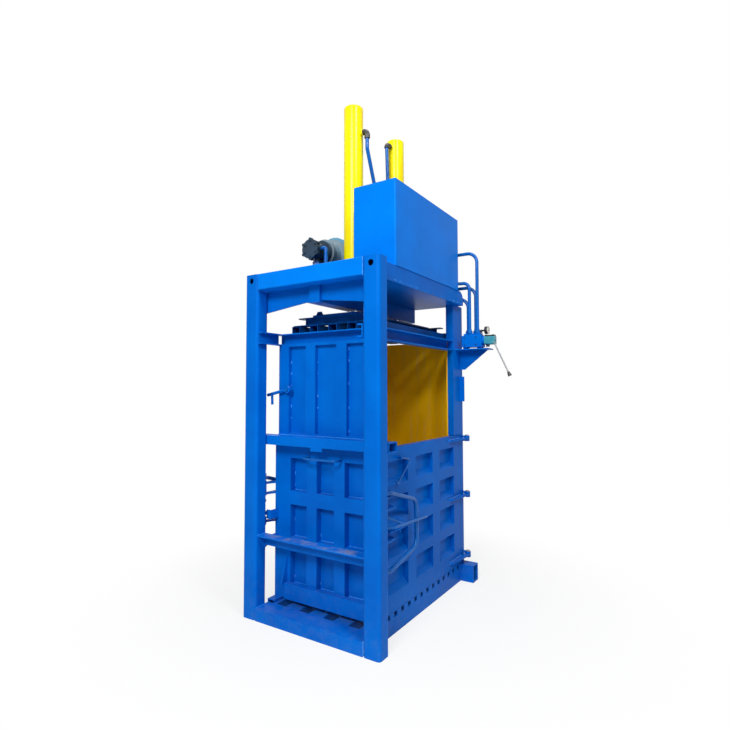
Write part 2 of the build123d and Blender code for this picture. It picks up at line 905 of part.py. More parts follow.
def latch_arms():
    # Two sleeves on three arms, welded to the front edge of the door
    edge_x = chamber_half_x
    half = arm_thickness / 2
    root_y = door_front_y + arm_root
    solids = []
    for (low, high), levels in zip(sleeve_spans, latch_arm_levels):
        sleeve = upright(latch_x, latch_y, low, high, sleeve_radius)
        for level in levels:
            outline = [(edge_x, root_y), (edge_x, door_front_y),
                       (edge_x + hinge_arm_bow, latch_y + arm_root - sleeve_radius),
                       (latch_x - shaft_radius, latch_y), (latch_x + shaft_radius, latch_y),
                       (latch_x, root_y - arm_thickness), (edge_x + arm_thickness, root_y)]
            sleeve += slab(outline, Plane.XY, level - half, arm_thickness)
        sleeve -= upright(latch_x, latch_y, low - 1, high + 1, shaft_radius + running_clearance)
        solids.append(sleeve)
    return solids


def latch_shaft():
    # Round shaft with two stop rings and two fingers welded round it
    shaft = upright(latch_x, latch_y, shaft_bottom, shaft_top, shaft_radius)
    solids = [shaft]
    for level in finger_levels:
        outline = [(latch_x, latch_y + finger_root), (latch_x - finger_length, latch_y + finger_tip),
                   (latch_x - finger_length, latch_y + finger_collar),
                   (latch_x, latch_y + finger_height)]
        finger = slab(outline, Plane.XY, level - finger_height / 2, finger_height)
        finger += upright(latch_x, latch_y, level - finger_collar_half, level + finger_collar_half,
                          finger_collar)
        solids.append(finger - shaft)
    for level in stop_levels:
        ring = upright(latch_x, latch_y, level - stop_height / 2, level + stop_height / 2,
                       sleeve_radius - 1)
        solids.append(ring - shaft)
    return solids


def latch_handle(shaft):
    # Bent D of round tube, welded to the shaft at both ends
    upper = shaft_top - handle_top_drop
    lower = shaft_bottom + handle_low_rise
    plane_x = latch_x + handle_offset_x
    near_y = latch_y + handle_near
    far_y = latch_y + handle_reach
    points = [(latch_x, latch_y, upper), (plane_x, near_y, upper - handle_dip),
              (plane_x, far_y - handle_lean, shaft_top - handle_bow_drop),
              (plane_x, far_y, shaft_bottom + handle_bow_rise),
              (plane_x, near_y, lower + 2), (latch_x, latch_y, lower)]
    bore = handle_tube_radius - handle_tube_wall
    return tube_on(points, handle_bends, handle_tube_radius, bore) - shaft


def latch_lever(latch):
    # Straight lever bar with a diagonal brace, both welded to the shaft
    handle_face = latch_x + handle_offset_x + handle_tube_radius
    outer_x = handle_face + lever_rod_radius + side_clearance
    points = [(latch_x, latch_y, lever_level), (outer_x, latch_y + lever_near, lever_level - lever_near_dip),
              (outer_x, latch_y + lever_length, lever_level - lever_far_dip)]
    bar = tube_on(points, (lever_bend,), lever_rod_radius)
    brace = rod((latch_x, latch_y, lever_level + lever_brace_rise),
                (outer_x, latch_y + lever_brace_reach, lever_level - plate), lever_rod_radius - 1)
    for solid in latch:
        bar -= solid
        brace -= solid
    return [bar, brace - bar]


def keepers():
    # Hooked plates on the end wall; the latch fingers turn in behind their lips
    solids = []
    web_x = latch_x - finger_length - keeper_side_gap - plate
    lip_y = latch_y - keeper_gap - plate
    half = keeper_height / 2
    for level in finger_levels:
        low = level - half
        high = level + half
        solids.append(block(web_x, web_x + plate, lip_y, -chamber_half_y, low, high))
        solids.append(block(web_x + plate, web_x + keeper_lip, lip_y, lip_y + plate, low, high))
    return solids


def door_hook():
    # Stay hook: a bent rod that hangs on a pin beside the latch
    x = chamber_half_x + hook_offset
    z = door_top - hook_pin_drop
    eye = rod((x - hook_eye_half, hook_pin_y, z), (x + hook_eye_half, hook_pin_y, z), hook_eye_radius)
    hole = rod((x - hook_eye_radius, hook_pin_y, z), (x + hook_eye_radius, hook_pin_y, z),
               hook_pin_radius + running_clearance)
    points = [(x, hook_pin_y + dy, z + dz) for dy, dz in hook_route]
    return eye - hole + tube_on(points, hook_bends, hook_rod_radius)


def hook_pin():
    x = chamber_half_x + hook_offset
    z = door_top - hook_pin_drop
    near = x - hook_eye_half - hook_play
    far = x + hook_eye_half + hook_play
    pin = rod((chamber_half_x, hook_pin_y, z), (far, hook_pin_y, z), hook_pin_radius)
    pin += rod((far, hook_pin_y, z), (far + hook_washer_thickness, hook_pin_y, z), hook_washer_radius)
    pin += rod((chamber_half_x, hook_pin_y, z), (near, hook_pin_y, z), hook_washer_radius)
    return pin


def lever_rest():
    # Small angle on the door under the lever bar, with a peg below it
    rear_y = hook_pin_y + hook_washer_radius
    left = chamber_half_x
    right = chamber_half_x + rest_reach
    shelf = block(left, right, rear_y - rest_length, rear_y, rest_level, rest_level + plate)
    shelf += block(left, left + plate, rear_y - rest_length, rear_y, rest_level, rest_level + rest_height)
    peg = upright(right - plate, rear_y - rest_peg_inset, rest_level - rest_peg_length, rest_level,
                  rest_peg_radius)
    return [shelf, peg]


def side_doors():
    arms, brackets, pins = hinge_set()
    leaf = [door_leaf()] + arms + latch_arms()
    add("right_door", leaf + lever_rest() + [hook_pin()])
    add("left_door", [mirrored(solid) for solid in leaf])
    latch = latch_shaft()
    latch.append(latch_handle(latch[0]))
    add("right_latch", latch)
    add("left_latch", [mirrored(solid) for solid in latch])
    add("hinge_brackets", both_sides(brackets))
    add("hinge_pins", both_sides(pins))
    add("latch_keepers", both_sides(keepers()))
    add("latch_lever_bar", latch_lever(latch))
    add("door_stay_hook", door_hook())


def side_rail():
    # Hollow rail on the deck with a rounded, closed rear end
    round_y = side_rail_end_y - side_rail_radius
    round_z = column_height - side_rail_radius
    def outline(front, rear, low, high):
        lower = Polyline((front, low), (rear, low), (rear, round_z))
        corner = RadiusArc((rear, round_z), (round_y, high), round_z - high)
        upper = Polyline((round_y, high), (front, high), (front, low))
        return make_face(lower + corner + upper)

    profile = outline(portal_back_y, side_rail_end_y, side_rail_bottom, column_height)
    hollow = outline(portal_back_y - 1, side_rail_end_y - skin,
                     side_rail_bottom + skin, column_height - skin)
    body = extrude(Plane.YZ.offset(side_rail_inner_x) * profile, amount=side_rail_width)
    inside_width = side_rail_width - 2 * skin
    return body - extrude(Plane.YZ.offset(side_rail_inner_x + skin) * hollow, amount=inside_width)


def top_frame():
    cross_beam = box_tube(-side_rail_inner_x, side_rail_inner_x, post_front_y, side_rail_end_y,
                          side_rail_bottom, column_height, skin, "x")
    cross_beam -= rod((pressure_drop, post_front_y - 1, pressure_run_z),
                      (pressure_drop, side_rail_end_y + 1, pressure_run_z), pipe_radius + pipe_clearance)
    add("top_side_rails", both_sides([side_rail()]) + [cross_beam])
    deck = block(-side_rail_half_x, side_rail_half_x, portal_back_y, side_rail_end_y,
                 deck_bottom, side_rail_bottom)
    nose_y = portal_back_y - girder_nose
    girder = block(-girder_half_width, girder_half_width, nose_y, side_rail_end_y,
                   girder_bottom, deck_bottom)
    girder -= block(-girder_half_width + plate, girder_half_width - plate, nose_y + plate,
                    side_rail_end_y + 1, girder_bottom + plate, deck_bottom - plate)
    for y in (-cylinder_y, cylinder_y):
        hole = upright(0, y, girder_bottom - 1, side_rail_bottom + 1, rod_radius + rod_hole_gap)
        deck -= hole
        girder -= hole
    # Tapered web plates behind the portal beam hang from the front edge of the deck
    haunch_end = portal_half_width - haunch_inset
    haunch = slab([(girder_half_width, deck_bottom), (girder_half_width, deck_bottom - haunch_depth_middle),
                   (haunch_end, deck_bottom - haunch_depth_side), (haunch_end, deck_bottom)],
                  Plane.XZ, -portal_back_y - deck_thickness, deck_thickness)
    strip = block(side_rail_half_x, haunch_end, portal_back_y, portal_back_y + deck_thickness,
                  deck_bottom, side_rail_bottom)
    add("deck_plate", [deck] + both_sides([haunch, strip]))
    add("centre_girder", girder)


def platen_cross_beam(y):
    # Wide-flange beam across the platen tubes
    half = cross_beam_width / 2
    web_half = platen_half_x - cross_beam_inset - girder_half_width
    beam = block(-platen_half_x, platen_half_x, y - half, y + half, ram_tube_top, ram_tube_top + plate)
    beam += block(-web_half, web_half, y - plate / 2, y + plate / 2, ram_tube_top, cross_beam_top)
    beam += block(cross_beam_inset - platen_half_x, platen_half_x - cross_beam_inset, y - half, y + half,
                  cross_beam_top - plate, cross_beam_top)
    return beam


def ram():
    pitch = (2 * platen_half_x - ram_tube_width) / (ram_tube_count - 1)
    tubes = []
    for index in range(ram_tube_count):
        left = -platen_half_x + index * pitch
        tubes.append(box_tube(left, left + ram_tube_width, -platen_half_y, platen_half_y,
                              platen_bottom, ram_tube_top, ram_tube_wall, "y"))
    add("platen_tubes", tubes)
    beam_y = platen_half_y - cross_beam_inset
    web_end = beam_y - cross_beam_width / 2
    plate_end = beam_y + cross_beam_width / 2
    web = block(ram_web_x - plate / 2, ram_web_x + plate / 2, -web_end, web_end,
                ram_tube_top, cross_beam_top)
    mount = block(-mount_plate_half, mount_plate_half, -plate_end, plate_end,
                  cross_beam_top, mount_plate_top)
    lug_x = -mount_plate_half + lug_thickness
    lug_top = mount_plate_top + lug_height
    outline = [(lug_x, mount_plate_top), (lug_x + lug_length, mount_plate_top),
               (lug_x + lug_length - lug_chamfer, lug_top), (lug_x + lug_chamfer, lug_top)]
    lug = slab(outline, Plane.XZ, beam_y, lug_thickness)
    beams = [platen_cross_beam(-beam_y), platen_cross_beam(beam_y)]
    add("platen_frame", beams + [mount, lug] + both_sides([web]))
    rods = []
    collars = []
    piston_top = barrel_top - barrel_end - piston_rest_gap
    collar_top = mount_plate_top + collar_height
    for y in (-cylinder_y, cylinder_y):
        bar = upright(0, y, mount_plate_top, piston_top, rod_radius)
        piston = upright(0, y, piston_top - piston_height, piston_top, bore_radius - piston_clearance)
        rods.append(bar + piston)
        collar = upright(0, y, mount_plate_top, collar_top, collar_radius)
        for turn in range(collar_bolt_count):
            angle = radians(360 / collar_bolt_count * (turn + 0.5))
            collar += upright(collar_bolt_circle * cos(angle), y + collar_bolt_circle * sin(angle),
                              collar_top, collar_top + plate, collar_bolt_radius)
        collars.append(collar - upright(0, y, mount_plate_top - 1, collar_top + 1, rod_radius))
    add("piston_rods", rods)
    add("rod_collars", collars)


def cylinder(y, port_z, port_dir):
    # Barrel with a rounded blind end, a square flange, an upper and a lower port boss
    barrel = upright(0, y, cylinder_base_z, barrel_top, barrel_radius)
    rim = barrel.edges().filter_by(GeomType.CIRCLE).sort_by(Axis.Z)[-1]
    barrel = fillet(rim, barrel_rim)
    half = cylinder_flange_size / 2
    flange = block(-half, half, y - half, y + half,
                   cylinder_base_z, cylinder_base_z + cylinder_flange_thickness)
    barrel += fillet(flange.edges().filter_by(Axis.Z), cylinder_flange_corner)
    barrel -= upright(0, y, cylinder_base_z - 1, barrel_top - barrel_end, bore_radius)
    boss_end = barrel_radius + port_boss_length
    for z, (dx, dy) in ((port_z, port_dir), (cylinder_base_z + low_port_rise, (1, 0))):
        def point(reach):
            return dx * reach, y + dy * reach, z

        barrel += rod(point(bore_radius + 2), point(boss_end), port_boss_radius)
        barrel -= rod(point(rod_radius), point(boss_end + 1), pipe_bore)
    gland = upright(0, y, cylinder_base_z, cylinder_base_z + gland_height, bore_radius)
    gland -= upright(0, y, cylinder_base_z - 1, cylinder_base_z + gland_height + 1,
                     rod_radius + running_clearance)
    return barrel, gland


def cylinders():
    front, front_gland = cylinder(-cylinder_y, barrel_top - front_port_drop, (1, 0))
    rear, rear_gland = cylinder(cylinder_y, barrel_top - rear_port_drop, (0, -1))
    add("front_cylinder_barrel", front)
    add("rear_cylinder_barrel", rear)
    add("cylinder_glands", [front_gland, rear_gland])
    bolts = []
    reach = cylinder_flange_size / 2 - flange_bolt_inset
    head_z = cylinder_base_z + cylinder_flange_thickness
    for y in (-cylinder_y, cylinder_y):
        for dx in (-reach, reach):
            for dy in (-reach, reach):
                head = extrude(RegularPolygon(flange_bolt_radius, 6), flange_bolt_height)
                bolts.append(Pos(dx, y + dy, head_z) * head)
    add("cylinder_flange_bolts", bolts)


def tank():
    lid_bottom = tank_top - tank_lid
    body = block(tank_left, tank_right, tank_front, tank_rear, column_height, lid_bottom)
    body = fillet(body.edges().filter_by(Axis.Z), tank_corner)
    body -= block(tank_left + tank_wall, tank_right - tank_wall, tank_front + tank_wall,
                  tank_rear - tank_wall, column_height + tank_wall, lid_bottom + 1)
    lid = block(tank_left, tank_right, tank_front, tank_rear, lid_bottom, tank_top)
    add("tank_lid", fillet(lid.edges().filter_by(Axis.Z), tank_corner))
    solids = [body]
    left = tank_left + tank_corner
    for y in (tank_front + tank_leg_inset, tank_rear - tank_leg_inset - tank_leg_length):
        leg = block(left, left + tank_leg_width, y, y + tank_leg_length, side_rail_bottom, column_height)
        leg -= block(left + plate, left + tank_leg_width + 1, y - 1, y + tank_leg_length - plate,
                     side_rail_bottom - 1, column_height - plate)
        solids.append(leg)
    add("oil_tank", solids)
    cap_x = tank_left + filler_inset_x
    cap_y = tank_rear - filler_inset_y
    base_top = tank_top + 2 * plate
    cap = upright(cap_x, cap_y, tank_top, base_top, filler_base_radius)
    cap += upright(cap_x, cap_y, base_top, base_top + filler_height, filler_radius)
    for turn in range(filler_grip_count):
        angle = radians(360 / filler_grip_count * turn)
        x = cap_x + (filler_radius + 2) * cos(angle)
        y = cap_y + (filler_radius + 2) * sin(angle)
        cap -= upright(x, y, base_top, base_top + filler_height + 1, filler_groove_radius)
    add("breather_cap", cap)


def motor_base():
    left = motor_x - base_left
    right = motor_x + base_right
    front = motor_front_y - base_front_overhang
    rear = motor_rear_y + base_rear_overhang
    underside = motor_base_top - base_thickness
    solids = [block(left, right, front, rear, underside, motor_base_top)]
    for x in (left, right - base_leg_width - base_leg_inset):
        for y in (front + base_leg_front, rear - base_leg_length - base_leg_front):
            leg = block(x, x + base_leg_width, y, y + base_leg_length, side_rail_bottom, underside)
            leg -= block(x + plate, x + base_leg_width + 1, y - 1, y + base_leg_length - plate,
                         side_rail_bottom - 1, underside + 1)
            solids.append(leg)
    front_z = motor_axis_z + stay_front_rise
    rear_z = motor_axis_z + stay_rear_rise
    outline = [(stay_front_y, motor_base_top), (stay_rear_y + stay_rim_width, motor_base_top),
               (stay_rear_y, rear_z), (stay_front_y, front_z)]
    stay = slab(outline, Plane.YZ, right - 2 * stay_thickness, stay_thickness)
    outline = [(stay_front_y, front_z), (stay_rear_y, rear_z),
               (stay_rear_y, rear_z + stay_rim_height), (stay_front_y, front_z + stay_rim_height)]
    rim = slab(outline, Plane.YZ, right - stay_rim_width, stay_rim_width)
    add("motor_base", solids + [stay, rim])


def electric_motor():
    core = along_y(motor_front_y, motor_rear_y, stator_radius)
    fin_margin = end_shield + plate
    fin_length = motor_length - 2 * fin_margin
    fin_mid = (motor_rear_y + motor_front_y) / 2
    fin_height = fin_radius - stator_radius + fin_root
    fin = Pos(stator_radius - fin_root + fin_height / 2, 0, 0) * Box(fin_height, fin_length, fin_thickness)
    for index in range(fin_count):
        turn = 360 / fin_count * index
        if bare_arc[0] < turn < bare_arc[1]:
            continue
        core += Pos(motor_x, fin_mid, motor_axis_z) * Rot(0, -turn, 0) * fin
    core += along_y(motor_front_y - end_shield, motor_front_y, fin_radius)
    core += along_y(motor_rear_y, motor_rear_y + fan_shield, fin_radius)
    solids = [core]
    pad_top = motor_base_top + end_shield
    for y in (motor_front_y + foot_inset, motor_rear_y - foot_inset):
        for side in (-1, 1):
            pad_x = motor_x + side * foot_spread
            web_x = motor_x + side * foot_web_offset
            foot = block(pad_x - foot_pad_half, pad_x + foot_pad_half,
                         y - foot_half_length, y + foot_half_length, motor_base_top, pad_top)
            foot += block(web_x - foot_web_half, web_x + foot_web_half,
                          y - foot_web_half_length, y + foot_web_half_length,
                          pad_top - 1, motor_axis_z - foot_web_drop)
            solids.append(foot - core)
    box_right = motor_x - stator_radius + fin_root
    box_bottom = motor_axis_z - terminal_box_drop
    box = block(box_right - terminal_box_size, box_right,
                -terminal_box_length / 2, terminal_box_length / 2,
                box_bottom, box_bottom + terminal_box_height)
    solids.append(box - core)
    add("electric_motor", solids)


def fan_cover():
    start = motor_rear_y + fan_shield
    end = start + fan_cover_length
    cover = along_y(start, end, fin_radius)
    rear_edge = cover.edges().filter_by(GeomType.CIRCLE).sort_by(Axis.Y)[-1]
    cover = fillet(rear_edge, fan_cover_round)
    for index in range(-grille_half_count, grille_half_count + 1):
        half = grille_half_width - fin_root * abs(index)
        z = motor_axis_z + index * grille_pitch
        cover -= block(motor_x - half, motor_x + half, end - plate, end + 1, z - skin, z + skin)
    add("fan_cover", cover)


def bell_housing():
    rear = motor_front_y - end_shield
    front = rear - bell_length
    bell = along_y(front, rear, bell_radius) + along_y(rear - bell_flange_length, rear, bell_flange_radius)
    bell += along_y(front, front + end_shield, bell_radius + fin_root)
    bell -= along_y(front - 1, rear + 1, pump_radius - 2)
    window = block(motor_x - window_half_width, motor_x + window_half_width,
                   front + window_front_rim, rear - bell_flange_length - window_rear_rim,
                   motor_axis_z, motor_axis_z + bell_radius + fin_root)
    add("bell_housing", bell - window)


def hydraulic_pump():
    rear = motor_front_y - end_shield - bell_length
    front = rear - pump_length
    pump = along_y(front, rear, pump_radius)
    pump += along_y(rear - pump_flange_length, rear, pump_flange_radius)
    pump += along_y(front, front + pump_disc_length, pump_disc_radius)
    rings = ((front, front + pump_disc_length, pump_disc_radius, pump_lobe_radius),
             (front - plate, front, pump_bolt_circle, pump_bolt_radius))
    for index in range(pump_bolt_count):
        angle = radians(360 / pump_bolt_count * (index + 0.5))
        for start, end, circle, radius in rings:
            pump += along_y(start, end, radius,
                            motor_x + circle * cos(angle), motor_axis_z + circle * sin(angle))
    pump += rod((motor_x + pump_port_root, pressure_port_y, motor_axis_z),
                (motor_x + pump_port_reach, pressure_port_y, motor_axis_z), port_boss_radius)
    pump += rod((motor_x, suction_port_y, motor_axis_z - pump_port_root),
                (motor_x, suction_port_y, motor_axis_z - pump_port_reach),
                suction_radius + suction_wall)
    add("hydraulic_pump", pump)


def valve_shelf():
    left = chamber_half_x
    rear = post_rear_y
    underside = shelf_top - plate
    shelf = block(left, shelf_end, rear - shelf_depth, rear, underside, shelf_top)
    low = underside - shelf_gusset_height
    outline = [(left, underside), (shelf_end - shelf_gusset_inset, underside),
               (left + shelf_gusset_tip, low), (left, low)]
    gusset = slab(outline, Plane.XZ, -(valve_y + shelf_gusset_inset), plate)
    add("valve_shelf", [shelf, gusset])


def valve_block():
    low = shelf_top + valve_foot_height
    high = valve_top - valve_cap
    body = block(valve_left, valve_right, valve_y - valve_half_depth, valve_y + valve_half_depth,
                 low, high)
    body = fillet(body.edges().filter_by(Axis.Z), skin)
    for x in (valve_left + valve_foot_inset, valve_right - valve_foot_inset):
        body += block(x - valve_foot_half, x + valve_foot_half,
                      valve_y - valve_foot_half_depth, valve_y + valve_foot_half_depth, shelf_top, low)
    body += block(valve_left + valve_foot_height, valve_right - valve_foot_height,
                  valve_y - valve_cap_half_depth, valve_y + valve_cap_half_depth, high, valve_top)
    flange_z = shelf_top + valve_flange_rise
    body += rod((valve_right, valve_y, flange_z), (valve_head_x, valve_y, flange_z), valve_flange_radius)
    add("valve_block", body)


def valve_lever():
    low = shelf_top + valve_head_rise
    reach = valve_head_half_depth
    head = block(valve_head_x, valve_head_end, valve_y - reach, valve_y + reach,
                 low, low + valve_head_height)
    head = fillet(head.edges().filter_by(Axis.X), valve_head_round)
    slot_half = lever_boss_half + 1
    head -= block(lever_pivot_x - valve_foot_height, valve_head_end + 1,
                  valve_y - slot_half, valve_y + slot_half, low - 1, lever_pivot_z + lever_slot_rise)
    pin_ends = [(lever_pivot_x, valve_y + side * reach, lever_pivot_z) for side in (-1, 1)]
    pin = rod(*pin_ends, lever_pin_radius)
    add("valve_head", head - pin)
    add("valve_lever_pin", pin)
    tip = (lever_pivot_x + lever_run, valve_y, lever_pivot_z - lever_fall)
    lever = rod((lever_pivot_x, valve_y - lever_boss_half, lever_pivot_z),
                (lever_pivot_x, valve_y + lever_boss_half, lever_pivot_z), lever_boss_radius)
    lever += rod((lever_pivot_x, valve_y, lever_pivot_z), tip, lever_radius)
    lever -= rod(*pin_ends, lever_pin_radius + running_clearance)
    add("valve_lever", lever)
    along = Vector(lever_run, 0, -lever_fall)
    knob = Cone(knob_neck_radius, knob_radius, knob_length)
    knob = Plane(origin=tip, z_dir=along) * Pos(0, 0, knob_length / 2) * knob
    add("lever_knob", knob)


def valve_port(index):
    # Where a pipe enters the top of the valve block
    x = valve_left + valve_port_shares[index] * (valve_right - valve_left)
    return x, valve_y + valve_port_offsets[index]


def pressure_gauge():
    stem_x = valve_port(3)[0] + gauge_offset_x
    y = valve_y + gauge_offset_y
    z = valve_top + gauge_rise
    face_x = stem_x + gauge_reach
    gauge = rod((face_x, y, z), (face_x + gauge_depth, y, z), gauge_radius)
    gauge += rod((stem_x, y, z), (face_x, y, z), gauge_neck_radius)
    gauge += upright(stem_x, y, valve_top, z + gauge_neck_radius, gauge_stem_radius)
    add("pressure_gauge", gauge)


def pipes():
    boss_end = barrel_radius + port_boss_length
    front_z = barrel_top - front_port_drop
    rear_z = barrel_top - rear_port_drop
    low_z = cylinder_base_z + low_port_rise
    run_z = tank_top - cap_pipe_drop
    x, y = valve_port(3)
    kink_z = front_z - cap_pipe_kink
    lean_y = -cylinder_y + cap_pipe_lean
    points = [(boss_end, -cylinder_y, front_z), (cap_pipe_x, -cylinder_y, front_z),
              (cap_pipe_x, -cylinder_y, kink_z), (cap_pipe_x, lean_y, tank_top),
              (cap_pipe_x, lean_y, run_z), (cap_pipe_x, y, run_z), (x, y, run_z), (x, y, valve_top)]
    cap_side = tube_on(points, cap_pipe_bends, pipe_radius, pipe_bore)
    start_y = cylinder_y - boss_end
    down_y = start_y - rear_cap_offset
    high_z, low_turn_z = [run_z + share * (rear_z - run_z) for share in rear_cap_shares]
    points = [(0, start_y, rear_z), (0, start_y - rear_cap_reach, rear_z), (0, down_y, high_z),
              (cap_pipe_x / 2, down_y, low_turn_z), (cap_pipe_x / 2, down_y, run_z),
              (cap_pipe_x - pipe_radius, down_y, run_z)]
    rear_cap = tube_on(points, rear_cap_bends, pipe_radius, pipe_bore)
    add("cap_side_pipes", [cap_side, rear_cap])
    x, y = valve_port(2)
    points = [(boss_end, -cylinder_y, low_z), (rod_pipe_x, -cylinder_y, low_z),
              (rod_pipe_x, y, low_z), (x, y, low_z), (x, y, valve_top)]
    rod_side = tube_on(points, rod_pipe_bends, pipe_radius, pipe_bore)
    # The branch of the rear cylinder ends at the long run that it joins
    long_run = rod((rod_pipe_x, -cylinder_y, low_z), (rod_pipe_x, y, low_z), pipe_radius)
    branch = rod((boss_end, cylinder_y, low_z), (rod_pipe_x, cylinder_y, low_z), pipe_radius)
    add("rod_side_pipes", [rod_side, branch - long_run])
    x, y = valve_port(1)
    return_x = tank_right - return_pipe_inset
    return_z = column_height + return_pipe_rise
    points = [(return_x, tank_rear, return_z), (return_x, y, return_z), (x, y, return_z), (x, y, valve_top)]
    add("return_pipe", tube_on(points, return_pipe_bends, pipe_radius, pipe_bore))
    x, y = valve_port(0)
    points = [(motor_x + pump_port_reach, pressure_port_y, motor_axis_z),
              (pressure_drop, pressure_port_y, motor_axis_z),
              (pressure_drop, pressure_port_y, pressure_run_z), (pressure_drop, y, pressure_run_z),
              (x, y, pressure_run_z), (x, y, valve_top)]
    add("pressure_pipe", tube_on(points, pressure_pipe_bends, pipe_radius, pipe_bore))
    suction_z = column_height + suction_rise
    points = [(motor_x, suction_port_y, motor_axis_z - pump_port_reach),
              (motor_x, suction_port_y, suction_z), (tank_left, suction_port_y, suction_z)]
    bore = suction_radius - suction_wall
    add("suction_pipe", tube_on(points, (suction_bend,), suction_radius, bore))


def hook_lever():
    # Bent bar on the front left corner post, turning on a bolt
    y = -chamber_half_y - hook_lever_gap - hook_lever_radius
    level = middle_beam_top + hook_level_share * (upper_panel_top - middle_beam_top)
    bolt_x = corner_post_width - chamber_half_x + hook_lever_gap
    start_x = bolt_x + hook_boss_half
    end_x = start_x - hook_lever_length
    end_z = level - hook_lever_fall
    bar = rod((start_x, y, level), (end_x, y, end_z), hook_lever_radius)
    bend_x = end_x + hook_lever_bend
    tail_z = end_z + 2
    bar += rod((bend_x, y, tail_z), (bend_x + 3, y, tail_z - hook_lever_tail), hook_lever_radius - 2)
    bolt_z = level - 3
    bar += rod((bolt_x, y - hook_boss_half, bolt_z), (bolt_x, y + hook_boss_half, bolt_z),
               hook_boss_radius)
    bar -= rod((bolt_x, y - hook_boss_radius, bolt_z), (bolt_x, y + hook_boss_radius, bolt_z),
               hook_bolt_radius + running_clearance)
    add("hook_lever", bar)
    front = y - hook_boss_half - side_clearance
    back = y + hook_boss_half + side_clearance
    bolt = rod((bolt_x, -chamber_half_y, bolt_z), (bolt_x, front, bolt_z), hook_bolt_radius)
    bolt += rod((bolt_x, -chamber_half_y, bolt_z), (bolt_x, back, bolt_z), 2 * hook_bolt_radius)
    bolt += rod((bolt_x, front, bolt_z), (bolt_x, front - plate, bolt_z), 2 * hook_bolt_radius - 2)
    add("hook_lever_bolt", bolt)


portal()
lock_bar()
front_base()
bottom_rails()
rear_frame()
rear_wall()
chamber_rails()
upper_end_wall()
lower_end_wall()
middle_beam()
left_upper_wall()
side_doors()
top_frame()
ram()
cylinders()
tank()
motor_base()
electric_motor()
fan_cover()
bell_housing()
hydraulic_pump()
valve_shelf()
valve_block()
valve_lever()
pressure_gauge()
pipes()
hook_lever()

os.makedirs("parts", exist_ok=True)
for part_name, shape in parts.items():
    export_step(shape, "parts/" + part_name + ".step")
print(len(parts), "parts written")
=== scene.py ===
import bpy
import bmesh
import math
import random
from mathutils import Matrix, Vector


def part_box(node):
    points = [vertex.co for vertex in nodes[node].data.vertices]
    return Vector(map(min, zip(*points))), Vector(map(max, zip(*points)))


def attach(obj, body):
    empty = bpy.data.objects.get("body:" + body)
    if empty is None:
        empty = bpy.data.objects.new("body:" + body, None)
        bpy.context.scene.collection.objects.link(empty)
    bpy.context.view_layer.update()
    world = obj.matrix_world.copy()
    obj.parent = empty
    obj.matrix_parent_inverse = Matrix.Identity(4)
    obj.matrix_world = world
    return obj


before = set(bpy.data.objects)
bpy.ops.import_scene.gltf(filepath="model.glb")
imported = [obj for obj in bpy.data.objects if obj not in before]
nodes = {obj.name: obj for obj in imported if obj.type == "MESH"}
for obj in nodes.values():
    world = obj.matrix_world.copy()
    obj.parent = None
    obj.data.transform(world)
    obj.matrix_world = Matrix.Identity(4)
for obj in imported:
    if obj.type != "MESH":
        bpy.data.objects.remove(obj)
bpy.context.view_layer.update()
dice = random.Random(7)
print("frame loaded:", len(nodes), "nodes")

# What a user would change about the light, the floor and the camera
studio = {
    "eye": (2.0641, -3.3303, 1.5187),
    "heading": 33.05,
    "pitch": 2.7,
    "roll": 0.06,
    "lens": 25.317,
    "sensor": 36.0,
    "floorColour": (0.86, 0.86, 0.86),
    "floorSize": 40.0,
    "floorRoughness": 0.9,
    "floorGlow": 0.78,
    "fadeStart": 0.8,
    "fadeEnd": 2.3,
    "worldStrength": 0.13,
}
lamps = {
    "keyLamp": {"place": (1.4, -6.2, 5.4), "target": (0.0, 0.0, 1.5), "size": 2.2, "energy": 400.0},
    "sideLamp": {"place": (4.3, -2.3, 5.9), "target": (0.0, 0.1, 1.4), "size": 1.2, "energy": 175.0},
    "topLamp": {"place": (0.5, -0.5, 7.5), "target": (0.0, 0.0, 1.5), "size": 3.5, "energy": 110.0},
}

# Paint and metal colours, linear
colours = {
    "blue": (0.0, 0.142, 0.60),
    "blueShade": (0.0, 0.112, 0.52),
    # Paler blue of the rubbed edges: partly worn paint, partly a painted edge highlight
    "blueWornAndHighlight": (0.02, 0.24, 0.90),
    "yellow": (0.97, 0.88, 0.0),
    "yellowShade": (0.95, 0.72, 0.0),
    "lining": (0.95, 0.56, 0.003),
    "steel": (0.42, 0.43, 0.44),
    "steelShade": (0.30, 0.30, 0.31),
    "rust": (0.17, 0.06, 0.022),
    "dust": (0.33, 0.30, 0.25),
    "chrome": (0.78, 0.79, 0.80),
    "zinc": (0.50, 0.49, 0.43),
    "motor": (0.13, 0.40, 0.60),
    "alloy": (0.30, 0.40, 0.46),
    "iron": (0.015, 0.05, 0.10),
    "black": (0.012, 0.012, 0.013),
    "teal": (0.03, 0.28, 0.36),
    "white": (0.82, 0.82, 0.80),
}


# Shader groups shared by the materials

def startGroup(name, inputs, outputs):
    group = bpy.data.node_groups.new(name, "ShaderNodeTree")
    for label, kind, value in inputs:
        socket = group.interface.new_socket(name=label, in_out="INPUT", socket_type=kind)
        socket.default_value = value
    for label, kind in outputs:
        group.interface.new_socket(name=label, in_out="OUTPUT", socket_type=kind)
    entry = group.nodes.new("NodeGroupInput")
    leave = group.nodes.new("NodeGroupOutput")
    return group, entry, leave


def mathNode(tree, operation, first, second=None, clamp=False):
    node = tree.nodes.new("ShaderNodeMath")
    node.operation = operation
    node.use_clamp = clamp
    for index, value in enumerate((first, second)):
        if value is None:
            continue
        if isinstance(value, (int, float)):
            node.inputs[index].default_value = value
        else:
            tree.links.new(value, node.inputs[index])
    return node.outputs[0]


